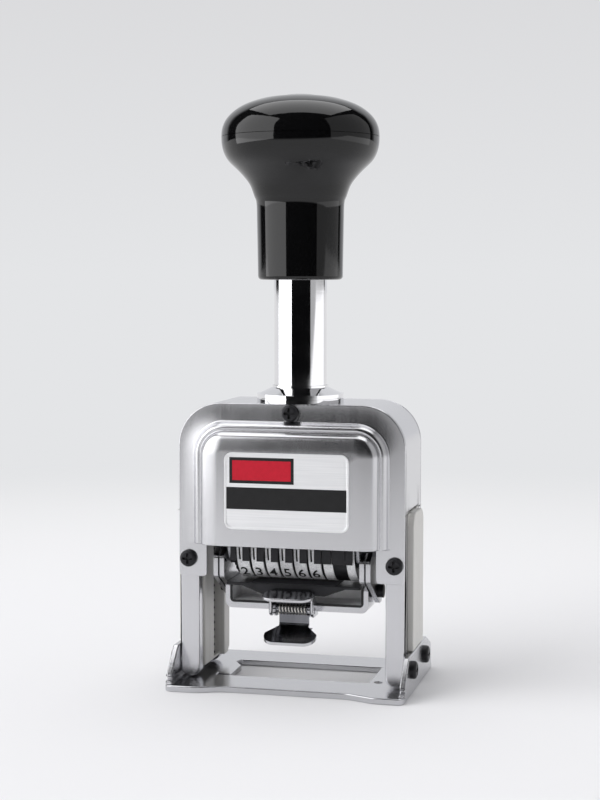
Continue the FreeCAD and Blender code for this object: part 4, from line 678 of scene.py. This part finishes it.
# Brush lines of 0.03 mm are drawn at 0.35 mm.
brush = noise(tree, (60, 2800, 2800), 3.0)
close(tree, {"Base Color": two_tone(tree, brush, "#d3d4d6", "#ebebec"), "Metallic": 0.6,
             "Roughness": mapped(tree, brush, 0.34, 0.46)})

# Screen ink lies in a thin skin that is not quite even.
print_finishes = []
for finish_name, dark, light in (("red screen ink", "#a3081f", "#bd0f2b"),
                                 ("black screen ink", "#0e0e0f", "#1a1a1b")):
    finish, tree = new_finish(finish_name)
    skin = noise(tree, 900.0, 3.0)
    close(tree, {"Base Color": two_tone(tree, skin, dark, light), "Roughness": mapped(tree, skin, 0.35, 0.5),
                 "Specular IOR Level": 0.3})
    print_finishes.append(finish)
red_ink, black_ink = print_finishes


def thin_slab(work, x_range, z_range, front_y, thick, corner):
    """Adds a flat block with rounded corners that faces the front, and gives its front face."""
    z_low, z_high = z_range
    places = ((x_range[0], z_low), (x_range[1], z_low), (x_range[1], z_high), (x_range[0], z_high))
    verts = [work.verts.new((x, front_y + thick, z)) for x, z in places]
    face = work.faces.new(verts)
    if corner:
        bmesh.ops.bevel(work, geom=verts, affect="VERTICES", offset=corner, segments=6, profile=0.5,
                        material=-1)
        face = [part for part in work.faces if abs(part.calc_center_median().y - front_y - thick) < 1e-8][-1]
    grown = bmesh.ops.extrude_face_region(work, geom=[face], use_keep_orig=True)["geom"]
    grown_verts = [part for part in grown if isinstance(part, bmesh.types.BMVert)]
    bmesh.ops.translate(work, verts=grown_verts, vec=(0, -thick, 0))
    return [part for part in grown if isinstance(part, bmesh.types.BMFace)][0]


plate_front = -0.01855
plate_thick = 0.00035
plate_corner = 0.0022
plate_dip = 0.0001
work = bmesh.new()
front = thin_slab(work, (-0.0176, 0.0176), (0.0455, 0.0668), plate_front, plate_thick, plate_corner)
bmesh.ops.inset_region(work, faces=[front], thickness=0.00045, depth=0)
bmesh.ops.inset_region(work, faces=[front], thickness=0.0002, depth=-plate_dip)
bmesh.ops.recalc_face_normals(work, faces=work.faces)
plate = new_piece(work, "title_plate", foil)
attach(plate, "frame")
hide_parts("name_plate")

# The field lies on the frame's ink, so it is the thicker of the two.
for name, finish, x_range, z_range, thick in (
        ("plate_frame_print", black_ink, (-0.0161, 0.0022), (0.0583, 0.0655), 0.00002),
        ("plate_field_print", red_ink, (-0.01525, 0.00135), (0.05915, 0.06465), 0.00004),
        ("plate_band_print", black_ink, (-0.01712, 0.01700), (0.0511, 0.0572), 0.00002)):
    work = bmesh.new()
    thin_slab(work, x_range, z_range, plate_front + plate_dip - thick, thick, 0.0)
    bmesh.ops.recalc_face_normals(work, faces=work.faces)
    field = new_piece(work, name, finish)
    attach(field, "frame")

# Screws: blacked steel pan heads with a cross recess. Three hold each cover to the arch, and two at each
# side hold the base plate's ears to the legs.

give(blacked, "front_cover_screws", "rear_cover_screws", "base_screws")
